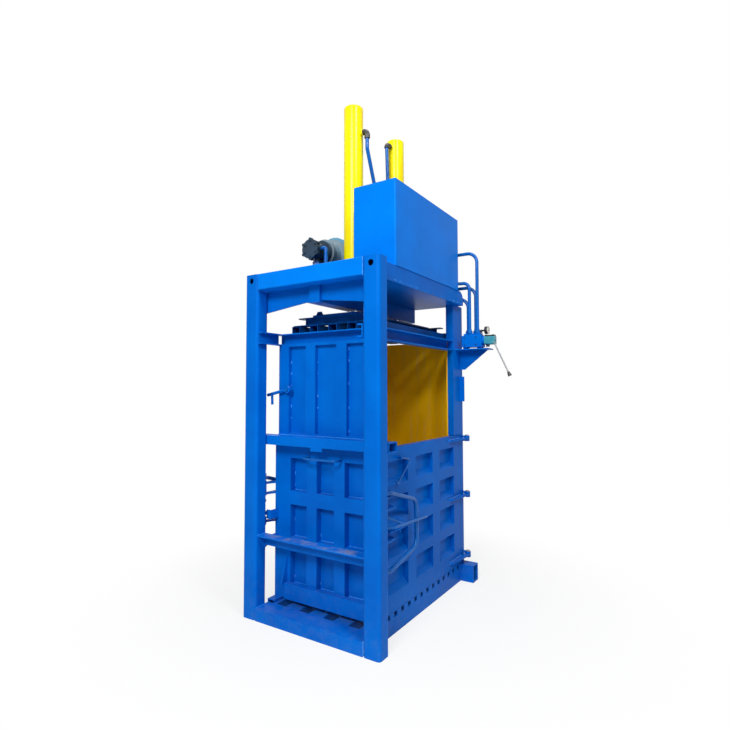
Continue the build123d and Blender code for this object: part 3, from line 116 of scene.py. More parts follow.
def noiseNode(tree, vector, scale, detail, roughness=0.55):
    node = tree.nodes.new("ShaderNodeTexNoise")
    node.inputs["Detail"].default_value = detail
    node.inputs["Roughness"].default_value = roughness
    if isinstance(scale, (int, float)):
        node.inputs["Scale"].default_value = scale
    else:
        tree.links.new(scale, node.inputs["Scale"])
    tree.links.new(vector, node.inputs["Vector"])
    return node.outputs["Fac"]


def rampNode(tree, value, low, high):
    node = tree.nodes.new("ShaderNodeMapRange")
    node.interpolation_type = "SMOOTHSTEP"
    tree.links.new(value, node.inputs["Value"])
    node.inputs["From Min"].default_value = low
    node.inputs["From Max"].default_value = high
    return node.outputs["Result"]


def mixColour(tree, factor, first, second):
    # In colour mode the Mix node reads inputs 0, 6 and 7 and writes output 2
    node = tree.nodes.new("ShaderNodeMix")
    node.data_type = "RGBA"
    tree.links.new(factor, node.inputs[0])
    for socket, value in ((node.inputs[6], first), (node.inputs[7], second)):
        if isinstance(value, bpy.types.NodeSocket):
            tree.links.new(value, socket)
        else:
            socket.default_value = (*value, 1.0)
    return node.outputs[2]


# Mottle, fine grain, rain streaks, dust settled on top faces and splashes near the floor
weatherLook = {
    "mottle": {"scale": 3.2, "detail": 5.0},
    "grainScale": 240.0,
    "grainDetail": 2.0,
    "streak": 0.5,
    "streakStretch": (34.0, 34.0, 1.3),
    "streakDetail": 4.0,
    "streakRange": (0.52, 0.78),
    "upwardRange": (0.6, 0.98),
    "patches": {"scale": 9.0, "detail": 6.0, "roughness": 0.65},
    "patchRange": (0.42, 0.68),
    "splashHeights": (0.0, 0.42),
    "splash": {"scale": 22.0, "detail": 6.0, "roughness": 0.7},
    "splashRange": (0.4, 0.75),
}


def makeWeatherGroup():
    group, entry, leave = startGroup(
        "shopWeather",
        [("Grain Scale", "NodeSocketFloat", weatherLook["grainScale"]),
         ("Streak", "NodeSocketFloat", weatherLook["streak"])],
        [("Mottle", "NodeSocketFloat"), ("Grain", "NodeSocketFloat"), ("Streaks", "NodeSocketFloat"),
         ("Settled", "NodeSocketFloat"), ("Splash", "NodeSocketFloat")])
    where = group.nodes.new("ShaderNodeTexCoord").outputs["Object"]
    mottle = noiseNode(group, where, **weatherLook["mottle"])
    grain = noiseNode(group, where, entry.outputs["Grain Scale"], weatherLook["grainDetail"])
    stretch = group.nodes.new("ShaderNodeMapping")
    stretch.inputs["Scale"].default_value = weatherLook["streakStretch"]
    group.links.new(where, stretch.inputs["Vector"])
    streaks = noiseNode(group, stretch.outputs[0], 1.0, weatherLook["streakDetail"])
    streaks = rampNode(group, streaks, *weatherLook["streakRange"])
    streaks = mathNode(group, "MULTIPLY", streaks, entry.outputs["Streak"])
    facing = group.nodes.new("ShaderNodeNewGeometry").outputs["Normal"]
    split = group.nodes.new("ShaderNodeSeparateXYZ")
    group.links.new(facing, split.inputs[0])
    upward = rampNode(group, split.outputs["Z"], *weatherLook["upwardRange"])
    patches = noiseNode(group, where, **weatherLook["patches"])
    patches = rampNode(group, patches, *weatherLook["patchRange"])
    place = group.nodes.new("ShaderNodeSeparateXYZ")
    group.links.new(where, place.inputs[0])
    low = mathNode(group, "SUBTRACT", 1.0, rampNode(group, place.outputs["Z"], *weatherLook["splashHeights"]))
    drops = noiseNode(group, where, **weatherLook["splash"])
    splash = mathNode(group, "MULTIPLY", low, rampNode(group, drops, *weatherLook["splashRange"]))
    group.links.new(mottle, leave.inputs["Mottle"])
    group.links.new(grain, leave.inputs["Grain"])
    group.links.new(streaks, leave.inputs["Streaks"])
    group.links.new(mathNode(group, "MULTIPLY", upward, patches), leave.inputs["Settled"])
    group.links.new(splash, leave.inputs["Splash"])
    return group


# Paint rubbed and chipped off along the edges; the rubbed edges take a paler colour, partly wear and partly a
# painted highlight along the edges
edgeLook = {
    "width": 0.004,
    "samples": 4,
    "turnRange": (0.015, 0.16),
    "breakScale": 26.0,
    "breakDetail": 5.0,
    "breakRoughness": 0.7,
    "rubRange": (0.38, 0.62),
    "chipRange": (0.60, 0.68),
}


def makeEdgeGroup():
    group, entry, leave = startGroup(
        "edgeRubAndHighlight",
        [("Width", "NodeSocketFloat", edgeLook["width"]),
         ("Break Scale", "NodeSocketFloat", edgeLook["breakScale"])],
        [("Rub And Highlight", "NodeSocketFloat"), ("Chip", "NodeSocketFloat")])
    bevel = group.nodes.new("ShaderNodeBevel")
    bevel.samples = edgeLook["samples"]
    group.links.new(entry.outputs["Width"], bevel.inputs["Radius"])
    flat = group.nodes.new("ShaderNodeNewGeometry").outputs["Normal"]
    dot = group.nodes.new("ShaderNodeVectorMath")
    dot.operation = "DOT_PRODUCT"
    group.links.new(bevel.outputs[0], dot.inputs[0])
    group.links.new(flat, dot.inputs[1])
    turned = mathNode(group, "SUBTRACT", 1.0, dot.outputs["Value"])
    turned = rampNode(group, turned, *edgeLook["turnRange"])
    where = group.nodes.new("ShaderNodeTexCoord").outputs["Object"]
    broken = noiseNode(group, where, entry.outputs["Break Scale"], edgeLook["breakDetail"],
                       edgeLook["breakRoughness"])
    rub = mathNode(group, "MULTIPLY", turned, rampNode(group, broken, *edgeLook["rubRange"]))
    chip = mathNode(group, "MULTIPLY", turned, rampNode(group, broken, *edgeLook["chipRange"]))
    group.links.new(rub, leave.inputs["Rub And Highlight"])
    group.links.new(chip, leave.inputs["Chip"])
    return group


# The yellow lining covers faces within these limits that look inward, or up on the floor.
# Further out than clearX, in the door pockets, only faces that look along x have it.
liningLook = {
    "halfX": 0.3975,
    "clearX": 0.3865,
    "halfY": 0.582,
    "floor": 0.0795,
    "floorTop": 0.082,
    "rim": 1.9105,
    "upward": 0.5,
    "inward": -0.05,
    "scourStretch": (60.0, 60.0, 2.4),
    "scourDetail": 5.0,
    "scourRoughness": 0.6,
    "scourRange": (0.55, 0.72),
}


def makeLiningGroup():
    group, entry, leave = startGroup(
        "chamberLining",
        [("Half X", "NodeSocketFloat", liningLook["halfX"]), ("Clear X", "NodeSocketFloat", liningLook["clearX"]),
         ("Half Y", "NodeSocketFloat", liningLook["halfY"]),
         ("Floor", "NodeSocketFloat", liningLook["floor"]), ("Rim", "NodeSocketFloat", liningLook["rim"])],
        [("Inside", "NodeSocketFloat"), ("Scour", "NodeSocketFloat")])
    coords = group.nodes.new("ShaderNodeTexCoord")
    place = group.nodes.new("ShaderNodeSeparateXYZ")
    group.links.new(coords.outputs["Object"], place.inputs[0])
    facing = group.nodes.new("ShaderNodeSeparateXYZ")
    group.links.new(coords.outputs["Normal"], facing.inputs[0])
    reach = {axis: mathNode(group, "ABSOLUTE", place.outputs[axis]) for axis in ("X", "Y")}
    clear = mathNode(group, "LESS_THAN", reach["X"], entry.outputs["Clear X"])
    upward = mathNode(group, "GREATER_THAN", facing.outputs["Z"], liningLook["upward"])
    onFloor = mathNode(group, "LESS_THAN", place.outputs["Z"], liningLook["floorTop"])
    inside = mathNode(group, "MULTIPLY", mathNode(group, "MULTIPLY", upward, onFloor), clear)
    for axis in ("X", "Y"):
        inward = mathNode(group, "MULTIPLY", place.outputs[axis], facing.outputs[axis])
        inward = mathNode(group, "LESS_THAN", inward, liningLook["inward"])
        if axis == "Y":
            inward = mathNode(group, "MULTIPLY", inward, clear)
        inside = mathNode(group, "MAXIMUM", inside, inward)
    for axis in ("X", "Y"):
        within = mathNode(group, "LESS_THAN", reach[axis], entry.outputs["Half " + axis])
        inside = mathNode(group, "MULTIPLY", inside, within)
    above = mathNode(group, "GREATER_THAN", place.outputs["Z"], entry.outputs["Floor"])
    below = mathNode(group, "LESS_THAN", place.outputs["Z"], entry.outputs["Rim"])
    inside = mathNode(group, "MULTIPLY", inside, mathNode(group, "MULTIPLY", above, below))
    stretch = group.nodes.new("ShaderNodeMapping")
    stretch.inputs["Scale"].default_value = liningLook["scourStretch"]
    group.links.new(coords.outputs["Object"], stretch.inputs["Vector"])
    scour = noiseNode(group, stretch.outputs[0], 1.0, liningLook["scourDetail"], liningLook["scourRoughness"])
    group.links.new(inside, leave.inputs["Inside"])
    group.links.new(rampNode(group, scour, *liningLook["scourRange"]), leave.inputs["Scour"])
    return group


groups = {"weather": makeWeatherGroup(), "edge": makeEdgeGroup(), "lining": makeLiningGroup()}


def placeGroup(tree, name, **values):
    node = tree.nodes.new("ShaderNodeGroup")
    node.node_tree = groups[name]
    for label, value in values.items():
        node.inputs[label.replace("_", " ")].default_value = value
    return node


def startMaterial(name, colour, metallic, roughness):
    material = bpy.data.materials.new(name)
    material.use_nodes = True
    tree = material.node_tree
    shader = tree.nodes["Principled BSDF"]
    shader.inputs["Base Color"].default_value = (*colour, 1.0)
    shader.inputs["Metallic"].default_value = metallic
    shader.inputs["Roughness"].default_value = roughness
    return material, tree, shader


# What all paints share
paintSkin = {
    "coatRoughness": 0.16,
    "mottleRange": (0.3, 0.7),
    "streakShade": 0.5,
    "smoother": -0.06,
    "mottleRough": 0.14,
    "dirtRough": 0.4,
    "bump": 0.10,
    "bumpDepth": 0.0005,
    "bendSamples": 3,
}


def addBump(tree, shader, height, strength, distance, soften=0.0):
    bump = tree.nodes.new("ShaderNodeBump")
    if soften:
        rounded = tree.nodes.new("ShaderNodeBevel")  # a folded edge catches the light
        rounded.samples = paintSkin["bendSamples"]
        rounded.inputs["Radius"].default_value = soften
        tree.links.new(rounded.outputs[0], bump.inputs["Normal"])
    bump.inputs["Strength"].default_value = strength
    bump.inputs["Distance"].default_value = distance
    tree.links.new(height, bump.inputs["Height"])
    tree.links.new(bump.outputs[0], shader.inputs["Normal"])


def paintMaterial(name, look):
    material, tree, shader = startMaterial(name, look["colour"], 0.0, look["roughness"])
    shader.inputs["Specular IOR Level"].default_value = look["specular"]
    shader.inputs["Coat Weight"].default_value = look["coat"]
    shader.inputs["Coat Roughness"].default_value = paintSkin["coatRoughness"]
    weather = placeGroup(tree, "weather", Grain_Scale=look["grain"], Streak=look["streak"])
    edge = placeGroup(tree, "edge", Width=look["edge"])
    mottle = rampNode(tree, weather.outputs["Mottle"], *paintSkin["mottleRange"])
    tint = mixColour(tree, mottle, look["shade"], look["colour"])
    if look["lined"]:
        lining = placeGroup(tree, "lining")
        scour = mathNode(tree, "MULTIPLY", lining.outputs["Scour"], look["scour"])
        worn = mixColour(tree, scour, colours["lining"], colours["steel"])
        tint = mixColour(tree, lining.outputs["Inside"], tint, worn)
    # Rubbed edges take the paler worn colour, partly wear and partly a painted edge highlight
    for socket, share, colour in (
            (edge.outputs["Rub And Highlight"], look["rub"], look["worn"]),
            (edge.outputs["Chip"], look["chip"], colours["rust"]),
            (weather.outputs["Streaks"], paintSkin["streakShade"], look["shade"])):
        tint = mixColour(tree, mathNode(tree, "MULTIPLY", socket, share), tint, colour)
    settled = mathNode(tree, "MULTIPLY", weather.outputs["Settled"], look["settled"])
    splash = mathNode(tree, "MULTIPLY", weather.outputs["Splash"], look["splash"])
    dirt = mathNode(tree, "ADD", settled, splash, clamp=True)
    tint = mixColour(tree, dirt, tint, colours["dust"])
    tree.links.new(tint, shader.inputs["Base Color"])
    rough = mathNode(tree, "MULTIPLY", weather.outputs["Mottle"], paintSkin["mottleRough"])
    rough = mathNode(tree, "ADD", look["roughness"] + paintSkin["smoother"], rough)
    dull = mathNode(tree, "MULTIPLY", dirt, paintSkin["dirtRough"])
    tree.links.new(mathNode(tree, "ADD", rough, dull, clamp=True), shader.inputs["Roughness"])
    addBump(tree, shader, weather.outputs["Grain"], paintSkin["bump"], paintSkin["bumpDepth"], look["soften"])
    return material


# What all bare metals and plastics share
metalSkin = {
    "streak": 0.3,
    "mottleRange": (0.35, 0.7),
    "spots": {"scale": 38.0, "detail": 6.0, "roughness": 0.7},
    "spotRange": (0.60, 0.72),
    "settled": 0.3,
    "smoother": -0.08,
    "grainRough": 0.18,
    "bumpDepth": 0.0008,
}


def metalMaterial(name, look):
    material, tree, shader = startMaterial(name, look["colour"], look["metallic"], look["roughness"])
    weather = placeGroup(tree, "weather", Grain_Scale=look["grain"], Streak=metalSkin["streak"])
    mottle = rampNode(tree, weather.outputs["Mottle"], *metalSkin["mottleRange"])
    tint = mixColour(tree, mottle, look["shade"], look["colour"])
    if look.get("rust"):
        where = tree.nodes.new("ShaderNodeTexCoord").outputs["Object"]
        spots = rampNode(tree, noiseNode(tree, where, **metalSkin["spots"]), *metalSkin["spotRange"])
        tint = mixColour(tree, mathNode(tree, "MULTIPLY", spots, look["rust"]), tint, colours["rust"])
    settled = look.get("settled", metalSkin["settled"])
    dust = mathNode(tree, "MULTIPLY", weather.outputs["Settled"], settled)
    tree.links.new(mixColour(tree, dust, tint, colours["dust"]), shader.inputs["Base Color"])
    rough = mathNode(tree, "MULTIPLY", weather.outputs["Grain"], metalSkin["grainRough"])
    rough = mathNode(tree, "ADD", look["roughness"] + metalSkin["smoother"], rough, clamp=True)
    tree.links.new(rough, shader.inputs["Roughness"])
    addBump(tree, shader, weather.outputs["Grain"], look["bump"], metalSkin["bumpDepth"])
    return material


# Each paint starts from another one
bluePaint = {
    "colour": colours["blue"], "shade": colours["blueShade"], "worn": colours["blueWornAndHighlight"],
    "roughness": 0.34, "specular": 0.04, "coat": 0.0, "grain": 160.0, "streak": 0.25, "edge": 0.004,
    "rub": 0.45, "chip": 0.12, "settled": 0.07, "splash": 0.07, "lined": True, "scour": 0.12, "soften": 0.0016}
plainPaint = {**bluePaint, "lined": False, "splash": 0.0}
# The tank paint is a brighter copy of the blue: painted light, for the light that falls on the upper parts. The
# tank, its lid and the top beam wear it.
litTankPaint = {
    **plainPaint, "colour": (0.0, 0.195, 0.78), "shade": (0.0, 0.165, 0.68), "roughness": 0.30, "settled": 0.12}
motorPaint = {
    **litTankPaint, "colour": colours["motor"], "shade": (0.09, 0.30, 0.48), "worn": (0.40, 0.50, 0.56),
    "specular": 0.5, "roughness": 0.38, "rub": 0.8, "soften": 0.0}
paints = {
    "blue": bluePaint,
    "tank": litTankPaint,
    "bar": {**plainPaint, "chip": 0.55, "rub": 0.8, "edge": 0.007, "settled": 0.60},
    # The platen's darker blue is painted shade, for the shadow that lies on it under the chamber top.
    "platen": {**plainPaint, "colour": (0.0, 0.075, 0.34), "shade": (0.0, 0.045, 0.20)},
    # Weld beads are painted a paler blue, with their rubbed edges paler still: a painted highlight for the glint of
    # the welds.
    "beadWithGlint": {**plainPaint, "colour": (0.03, 0.27, 0.78), "shade": (0.0, 0.16, 0.62), "worn": (0.28, 0.50, 0.92),
             "specular": 0.4, "roughness": 0.24, "rub": 1.0, "soften": 0.0},
    "pipe": {**plainPaint, "colour": (0.0, 0.12, 0.46), "shade": (0.0, 0.09, 0.36), "specular": 0.2, "coat": 0.05,
             "roughness": 0.26, "soften": 0.0, "edge": 0.002},
    "yellow": {**litTankPaint, "colour": colours["yellow"], "shade": colours["yellowShade"], "worn": (1.0, 0.95, 0.12),
               "specular": 0.14, "roughness": 0.24, "coat": 0.08, "settled": 0.0, "streak": 0.2},
    "motor": motorPaint,
    "teal": {**motorPaint, "colour": colours["teal"], "shade": (0.02, 0.20, 0.27)},
}
metals = {
    "lever": {"name": "leverSteel", "colour": (0.34, 0.35, 0.37), "shade": (0.24, 0.25, 0.27), "metallic": 0.3,
              "roughness": 0.45, "grain": 300.0, "bump": 0.05, "rust": 0.2},
    "chrome": {"name": "rodChrome", "colour": colours["chrome"], "shade": (0.66, 0.67, 0.69), "metallic": 1.0,
               "roughness": 0.14, "grain": 500.0, "bump": 0.03},
    "steel": {"name": "bareSteel", "colour": colours["steel"], "shade": colours["steelShade"], "metallic": 0.9,
              "roughness": 0.42, "grain": 420.0, "bump": 0.12, "rust": 0.5},
    "zinc": {"name": "zincPlate", "colour": colours["zinc"], "shade": (0.40, 0.38, 0.30), "metallic": 0.9,
             "roughness": 0.36, "grain": 380.0, "bump": 0.08, "rust": 0.25},
    "alloy": {"name": "castAlloy", "colour": colours["alloy"], "shade": (0.20, 0.28, 0.34), "metallic": 0.7,
              "roughness": 0.46, "grain": 300.0, "bump": 0.3},
    "iron": {"name": "oiledIron", "colour": colours["iron"], "shade": (0.012, 0.03, 0.05), "metallic": 0.3,
             "roughness": 0.36, "grain": 260.0, "bump": 0.35},
    "black": {"name": "blackPlastic", "colour": colours["black"], "shade": (0.02, 0.02, 0.02), "metallic": 0.0,
              "roughness": 0.40, "grain": 700.0, "bump": 0.1, "settled": 0.1},
    "dial": {"name": "dialWhite", "colour": colours["white"], "shade": (0.74, 0.74, 0.70), "metallic": 0.0,
             "roughness": 0.35, "grain": 900.0, "bump": 0.02, "settled": 0.0},
}
materials = {finish: paintMaterial(finish + "Paint", look) for finish, look in paints.items()}
materials.update({finish: metalMaterial(look["name"], look) for finish, look in metals.items()})

# The nodes of each finish; all others are blue
finishNodes = {
    "yellow": ("front_cylinder_barrel", "rear_cylinder_barrel"),
    "chrome": ("piston_rods",),
    "steel": ("cylinder_glands", "hinge_pins"),
    "zinc": ("cylinder_flange_bolts", "valve_lever_pin"),
    "motor": ("electric_motor", "fan_cover"),
    "alloy": ("bell_housing",),
    "iron": ("hydraulic_pump",),
    "black": ("lever_knob", "pressure_gauge", "breather_cap"),
    "teal": ("valve_head",),
    # The top beam takes the brighter tank paint as painted light from above.
    "tank": ("oil_tank", "tank_lid", "portal_top_beam"),
    # The platen takes the darker platen paint, painted shade.
    "platen": ("platen_tubes", "platen_frame"),
    "lever": ("valve_lever",),
    "bar": ("lock_bar", "hook_lever"),
    "pipe": ("cap_side_pipes", "rod_side_pipes", "return_pipe", "pressure_pipe", "suction_pipe", "right_latch",
             "left_latch", "latch_lever_bar", "door_stay_hook", "front_panel_handle", "hook_lever_bolt"),
}
finishOf = {name: finish for finish, names in finishNodes.items() for name in names}
for name, node in nodes.items():
    node.data.materials.clear()
    node.data.materials.append(materials[finishOf.get(name, "blue")])
print("materials placed")


# Small pieces that the solids leave out

hexagon = 6
joinDistance = 0.00001


def turnTo(direction):
    return Vector(direction).to_track_quat("Z", "Y").to_matrix().to_4x4()


def putInOrder(elements, key):
    # The spin operator's own order changes from run to run
    for index, element in enumerate(sorted(elements, key=key)):
        element.index = index
    elements.sort()


def finishPiece(mesh, name, finish, body, smooth=False):
    bmesh.ops.remove_doubles(mesh, verts=mesh.verts, dist=joinDistance)
    bmesh.ops.recalc_face_normals(mesh, faces=mesh.faces)
    putInOrder(mesh.verts, lambda vert: vert.co[:])
    putInOrder(mesh.faces, lambda face: sorted(vert.index for vert in face.verts))
    for face in mesh.faces:
        face.smooth = smooth
    data = bpy.data.meshes.new(name)
    mesh.to_mesh(data)
    mesh.free()
    data.materials.append(materials[finish])
    piece = bpy.data.objects.new(name, data)
    bpy.context.scene.collection.objects.link(piece)
    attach(piece, body)


def mergeInto(mesh, part):
    data = bpy.data.meshes.new("part")
    part.to_mesh(data)
    part.free()
    mesh.from_mesh(data)
    bpy.data.meshes.remove(data)


def layBetween(mesh, part, first, last):
    # A part made along z comes to run from one point to another
    place = Matrix.Translation((first + last) / 2) @ turnTo(last - first)
    bmesh.ops.transform(part, matrix=place, verts=part.verts)
    mergeInto(mesh, part)


def addBar(mesh, start, end, radius, sides=20, endRadius=None, chamfer=0.0):
    # Round or many-sided bar; a chamfer, where given, breaks both rims
    first, last = Vector(start), Vector(end)
    part = bmesh.new()
    run = (last - first).length
    bmesh.ops.create_cone(part, cap_ends=True, cap_tris=False, segments=sides, radius1=radius,
                          radius2=endRadius or radius, depth=run)
    if chamfer:
        rims = [edge for edge in part.edges if abs(edge.verts[0].co.z - edge.verts[1].co.z) < run / 2]
        bmesh.ops.bevel(part, geom=rims, offset=chamfer, affect="EDGES", segments=2, profile=0.5, material=-1)
    layBetween(mesh, part, first, last)


def addPlate(mesh, low, high, chamfer):
    low, high = Vector(low), Vector(high)
    part = bmesh.new()
    bmesh.ops.create_cube(part, size=1.0)
    bmesh.ops.scale(part, vec=high - low, verts=part.verts)
    bmesh.ops.bevel(part, geom=part.edges[:], offset=chamfer, affect="EDGES", segments=2, profile=0.5, material=-1)
    bmesh.ops.translate(part, vec=(low + high) / 2, verts=part.verts)
    mergeInto(mesh, part)


# Washer and hexagon, as shares of the nut's thickness and of its width across the flats
nutShape = {"washerDepth": 0.14, "washerRadius": 0.60, "washerSides": 24, "hexStart": 0.12, "hexRadius": 0.577,
            "chamfer": 0.09}


def addNut(mesh, centre, direction, across, thickness):
    # Stands on its seat, along a direction
    way = Vector(direction).normalized()
    seat = Vector(centre)
    addBar(mesh, seat, seat + way * thickness * nutShape["washerDepth"], across * nutShape["washerRadius"],
           nutShape["washerSides"])
    addBar(mesh, seat + way * thickness * nutShape["hexStart"], seat + way * thickness,
           across * nutShape["hexRadius"], hexagon, chamfer=thickness * nutShape["chamfer"])


def addRing(mesh, centre, axis, radius, thickness, sides=6, steps=32, ripple=0.0):
    # Round ring, spun from a small circle; a ripple pulls every second section in, as in a weld
    part = bmesh.new()
    place = Matrix.Translation((radius, 0.0, 0.0)) @ Matrix.Rotation(math.pi / 2, 4, "X")
    made = bmesh.ops.create_circle(part, cap_ends=False, segments=sides, radius=thickness, matrix=place)
    bmesh.ops.spin(part, geom=made["verts"] + list(part.edges), cent=(0.0, 0.0, 0.0), axis=(0.0, 0.0, 1.0),
                   angle=2 * math.pi, steps=steps, use_merge=True)
    for vert in part.verts:
        if ripple and round(math.atan2(vert.co.y, vert.co.x) / (2 * math.pi) * steps) % 2:
            outward = Vector((vert.co.x, vert.co.y, 0.0)).normalized()
            vert.co += (outward * radius - vert.co) * ripple
    bmesh.ops.transform(part, matrix=Matrix.Translation(Vector(centre)) @ turnTo(axis), verts=part.verts)
    mergeInto(mesh, part)


def addElbow(mesh, centre, start, axis, thickness, sides=16, steps=10):
    # Quarter of a ring from a start point, turned round an axis through a centre
    part = bmesh.new()
    radial = (Vector(start) - Vector(centre)).normalized()
    way = Vector(axis).cross(radial)
    made = bmesh.ops.create_circle(part, cap_ends=True, segments=sides, radius=thickness,
                                   matrix=Matrix.Translation(Vector(start)) @ turnTo(way))
    bmesh.ops.spin(part, geom=list(part.faces) + made["verts"] + list(part.edges), cent=centre, axis=axis,
                   angle=math.pi / 2, steps=steps)
    mergeInto(mesh, part)


# Weld beads: ripples every step, a slow wave, tapered ends, and stitches of which some are skipped
weld = {"radius": 0.0038, "sides": 6, "step": 0.006, "ripple": 0.16, "taper": 0.55, "wave": 0.12, "waveTurn": 0.9,
        "stitch": 0.028, "gap": 0.048, "skipped": 0.35, "shortest": 0.4, "ringRipple": 0.25}


def addBead(mesh, start, end, radius=weld["radius"]):
    first, last = Vector(start), Vector(end)
    run = (last - first).length
    part = bmesh.new()
    bmesh.ops.create_cone(part, cap_ends=True, cap_tris=False, segments=weld["sides"], radius1=radius,
                          radius2=radius, depth=run)
    lengths = [edge for edge in part.edges if abs(edge.verts[0].co.z - edge.verts[1].co.z) > run / 2]
    cuts = max(2, int(run / weld["step"]))
    bmesh.ops.subdivide_edges(part, edges=lengths, cuts=cuts)
    for vert in part.verts:
        place = round((vert.co.z / run + 0.5) * (cuts + 1))
        swell = 1.0 + weld["ripple"] * (1 if place % 2 else -1)
        if place in (0, cuts + 1):
            swell = weld["taper"]
        swell *= 1.0 + weld["wave"] * math.sin(place * weld["waveTurn"])
        vert.co.x *= swell
        vert.co.y *= swell
    layBetween(mesh, part, first, last)


def addStitches(mesh, start, end, radius=weld["radius"]):
    first, last = Vector(start), Vector(end)
    run = (last - first).length
    way = (last - first).normalized()
    pitch = weld["stitch"] + weld["gap"]
    count = int((run + weld["gap"]) / pitch)
    margin = (run - count * pitch + weld["gap"]) / 2
    for index in range(count):
        if dice.random() < weld["skipped"]:
            continue
        begin = first + way * (margin + index * pitch)
        addBead(mesh, begin, begin + way * weld["stitch"] * dice.uniform(weld["shortest"], 1.0), radius)


def pocketEdges(low, high, first, last, rib, count):
    # Both ends of each pocket between ribs of one width
    size = (high - low - first - last - rib * (count - 1)) / count
    starts = [low + first + index * (size + rib) for index in range(count)]
    return [(start, start + size) for start in starts]


# Columns, beam, sill and lock bar: beads stand back from the front face
cornerSeam = {"inset": 0.0066, "radius": 0.0048, "ledge": 0.005, "lift": 0.002}
upperWall = {"ribHalf": 0.041, "ribCentre": 0.128, "postWidth": 0.116, "sheetDepth": 0.030, "low": 0.014,
             "high": 0.012, "seamEnd": 0.02, "radius": 0.0052}
lowerWall = {"side": 0.138, "low": 0.100, "high": 0.082, "rib": 0.084, "band": 0.092, "depth": 0.050, "count": 3}
keeperSeam = {"x": 0.413, "height": 0.060}
shelfSeam = {"inset": 0.033, "drop": 0.008}


def addPortalSeams(mesh):
    beamLow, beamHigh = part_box("portal_top_beam")
    barLow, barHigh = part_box("lock_bar")
    sillLow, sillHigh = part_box("base_sill")
    beamY, beamLedge = beamLow.y + cornerSeam["inset"], beamLow.y + cornerSeam["ledge"]
    sillY, sillLedge = sillLow.y + cornerSeam["inset"], sillLow.y + cornerSeam["ledge"]
    for side in (-1, 1):
        x = side * beamHigh.x
        addBead(mesh, (x, beamY, beamLow.z), (x, beamY, beamHigh.z), cornerSeam["radius"])
        addBead(mesh, (x, beamLedge, beamLow.z), (x, beamHigh.y, beamLow.z))
        addBead(mesh, (x, barLow.y, barHigh.z), (x, barHigh.y, barHigh.z))
        addBead(mesh, (x, barHigh.y, barLow.z), (x, barHigh.y, barHigh.z))
        addBead(mesh, (x, sillY, cornerSeam["lift"]), (x, sillY, sillHigh.z), cornerSeam["radius"])
        addBead(mesh, (x, sillLedge, sillHigh.z), (x, sillHigh.y, sillHigh.z))


def addFrontWallSeams(mesh):
    wallLow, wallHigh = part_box("front_upper_panel")
    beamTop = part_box("middle_beam")[1].z
    seamEnd = upperWall["seamEnd"]
    addBead(mesh, (wallLow.x + seamEnd, wallLow.y, beamTop), (wallHigh.x - seamEnd, wallLow.y, beamTop))
    sheetY = wallLow.y + upperWall["sheetDepth"]
    bottom, top = wallLow.z + upperWall["low"], wallHigh.z - upperWall["high"]
    edges = [side * (upperWall["ribCentre"] + step * upperWall["ribHalf"]) for side in (-1, 1) for step in (-1, 1)]
    edges += [side * (wallHigh.x - upperWall["postWidth"]) for side in (-1, 1)]
    for x in edges:
        addStitches(mesh, (x, sheetY, bottom), (x, sheetY, top), upperWall["radius"])
    gridLow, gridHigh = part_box("front_lower_panel")
    backY = wallLow.y + lowerWall["depth"]
    columns = pocketEdges(-wallHigh.x, wallHigh.x, lowerWall["side"], lowerWall["side"], lowerWall["rib"],
                          lowerWall["count"])
    rows = pocketEdges(gridLow.z, gridHigh.z, lowerWall["low"], lowerWall["high"], lowerWall["band"],
                       lowerWall["count"])
    for left, right in columns:
        for bottom, top in rows:
            addBead(mesh, (left, backY, bottom), (right, backY, bottom))
            addStitches(mesh, (left, backY, bottom), (left, backY, top))
            addStitches(mesh, (right, backY, bottom), (right, backY, top))


def makeFrameWelds():
    mesh = bmesh.new()
    addPortalSeams(mesh)
    addFrontWallSeams(mesh)
    rearLow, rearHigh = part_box("rear_wall")
    for side in (-1, 1):
        addStitches(mesh, (side * rearHigh.x, rearHigh.y, rearLow.z), (side * rearHigh.x, rearHigh.y, rearHigh.z))
    keepLow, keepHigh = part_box("latch_keepers")
    for side in (-1, 1):
        x = side * keeperSeam["x"]
        for bottom in (keepLow.z, keepHigh.z - keeperSeam["height"]):
            addBead(mesh, (x, keepHigh.y, bottom), (x, keepHigh.y, bottom + keeperSeam["height"]))
    shelfLow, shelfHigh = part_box("valve_shelf")
    footY = shelfHigh.y - shelfSeam["inset"]
    addBead(mesh, (shelfLow.x, shelfLow.y, shelfHigh.z), (shelfLow.x, shelfHigh.y, shelfHigh.z))
    addBead(mesh, (shelfLow.x, footY, shelfLow.z), (shelfLow.x, footY, shelfHigh.z - shelfSeam["drop"]))
    railLow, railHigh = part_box("top_side_rails")
    for side in (-1, 1):
        addStitches(mesh, (side * railHigh.x, railLow.y, railLow.z), (side * railHigh.x, railHigh.y, railLow.z))
    finishPiece(mesh, "frameWelds", "beadWithGlint", "root", True)


beamTab = {"half": 0.047, "drop": 0.024, "plate": 0.006, "below": 0.062, "overlap": 0.0005, "chamfer": 0.0015}


def makeBeamTab():
    # Folded plate under the middle beam that keeps the lower panel's top edge in
    mesh = bmesh.new()
    low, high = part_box("middle_beam")
    half, back = beamTab["half"], low.y + beamTab["plate"]
    under = high.z - beamTab["below"]
    addPlate(mesh, (-half, low.y, under - beamTab["drop"]), (half, back, under + beamTab["overlap"]),
             beamTab["chamfer"])
    addBead(mesh, (-half, back, under), (half, back, under))
    finishPiece(mesh, "beamTab", "blue", "root")


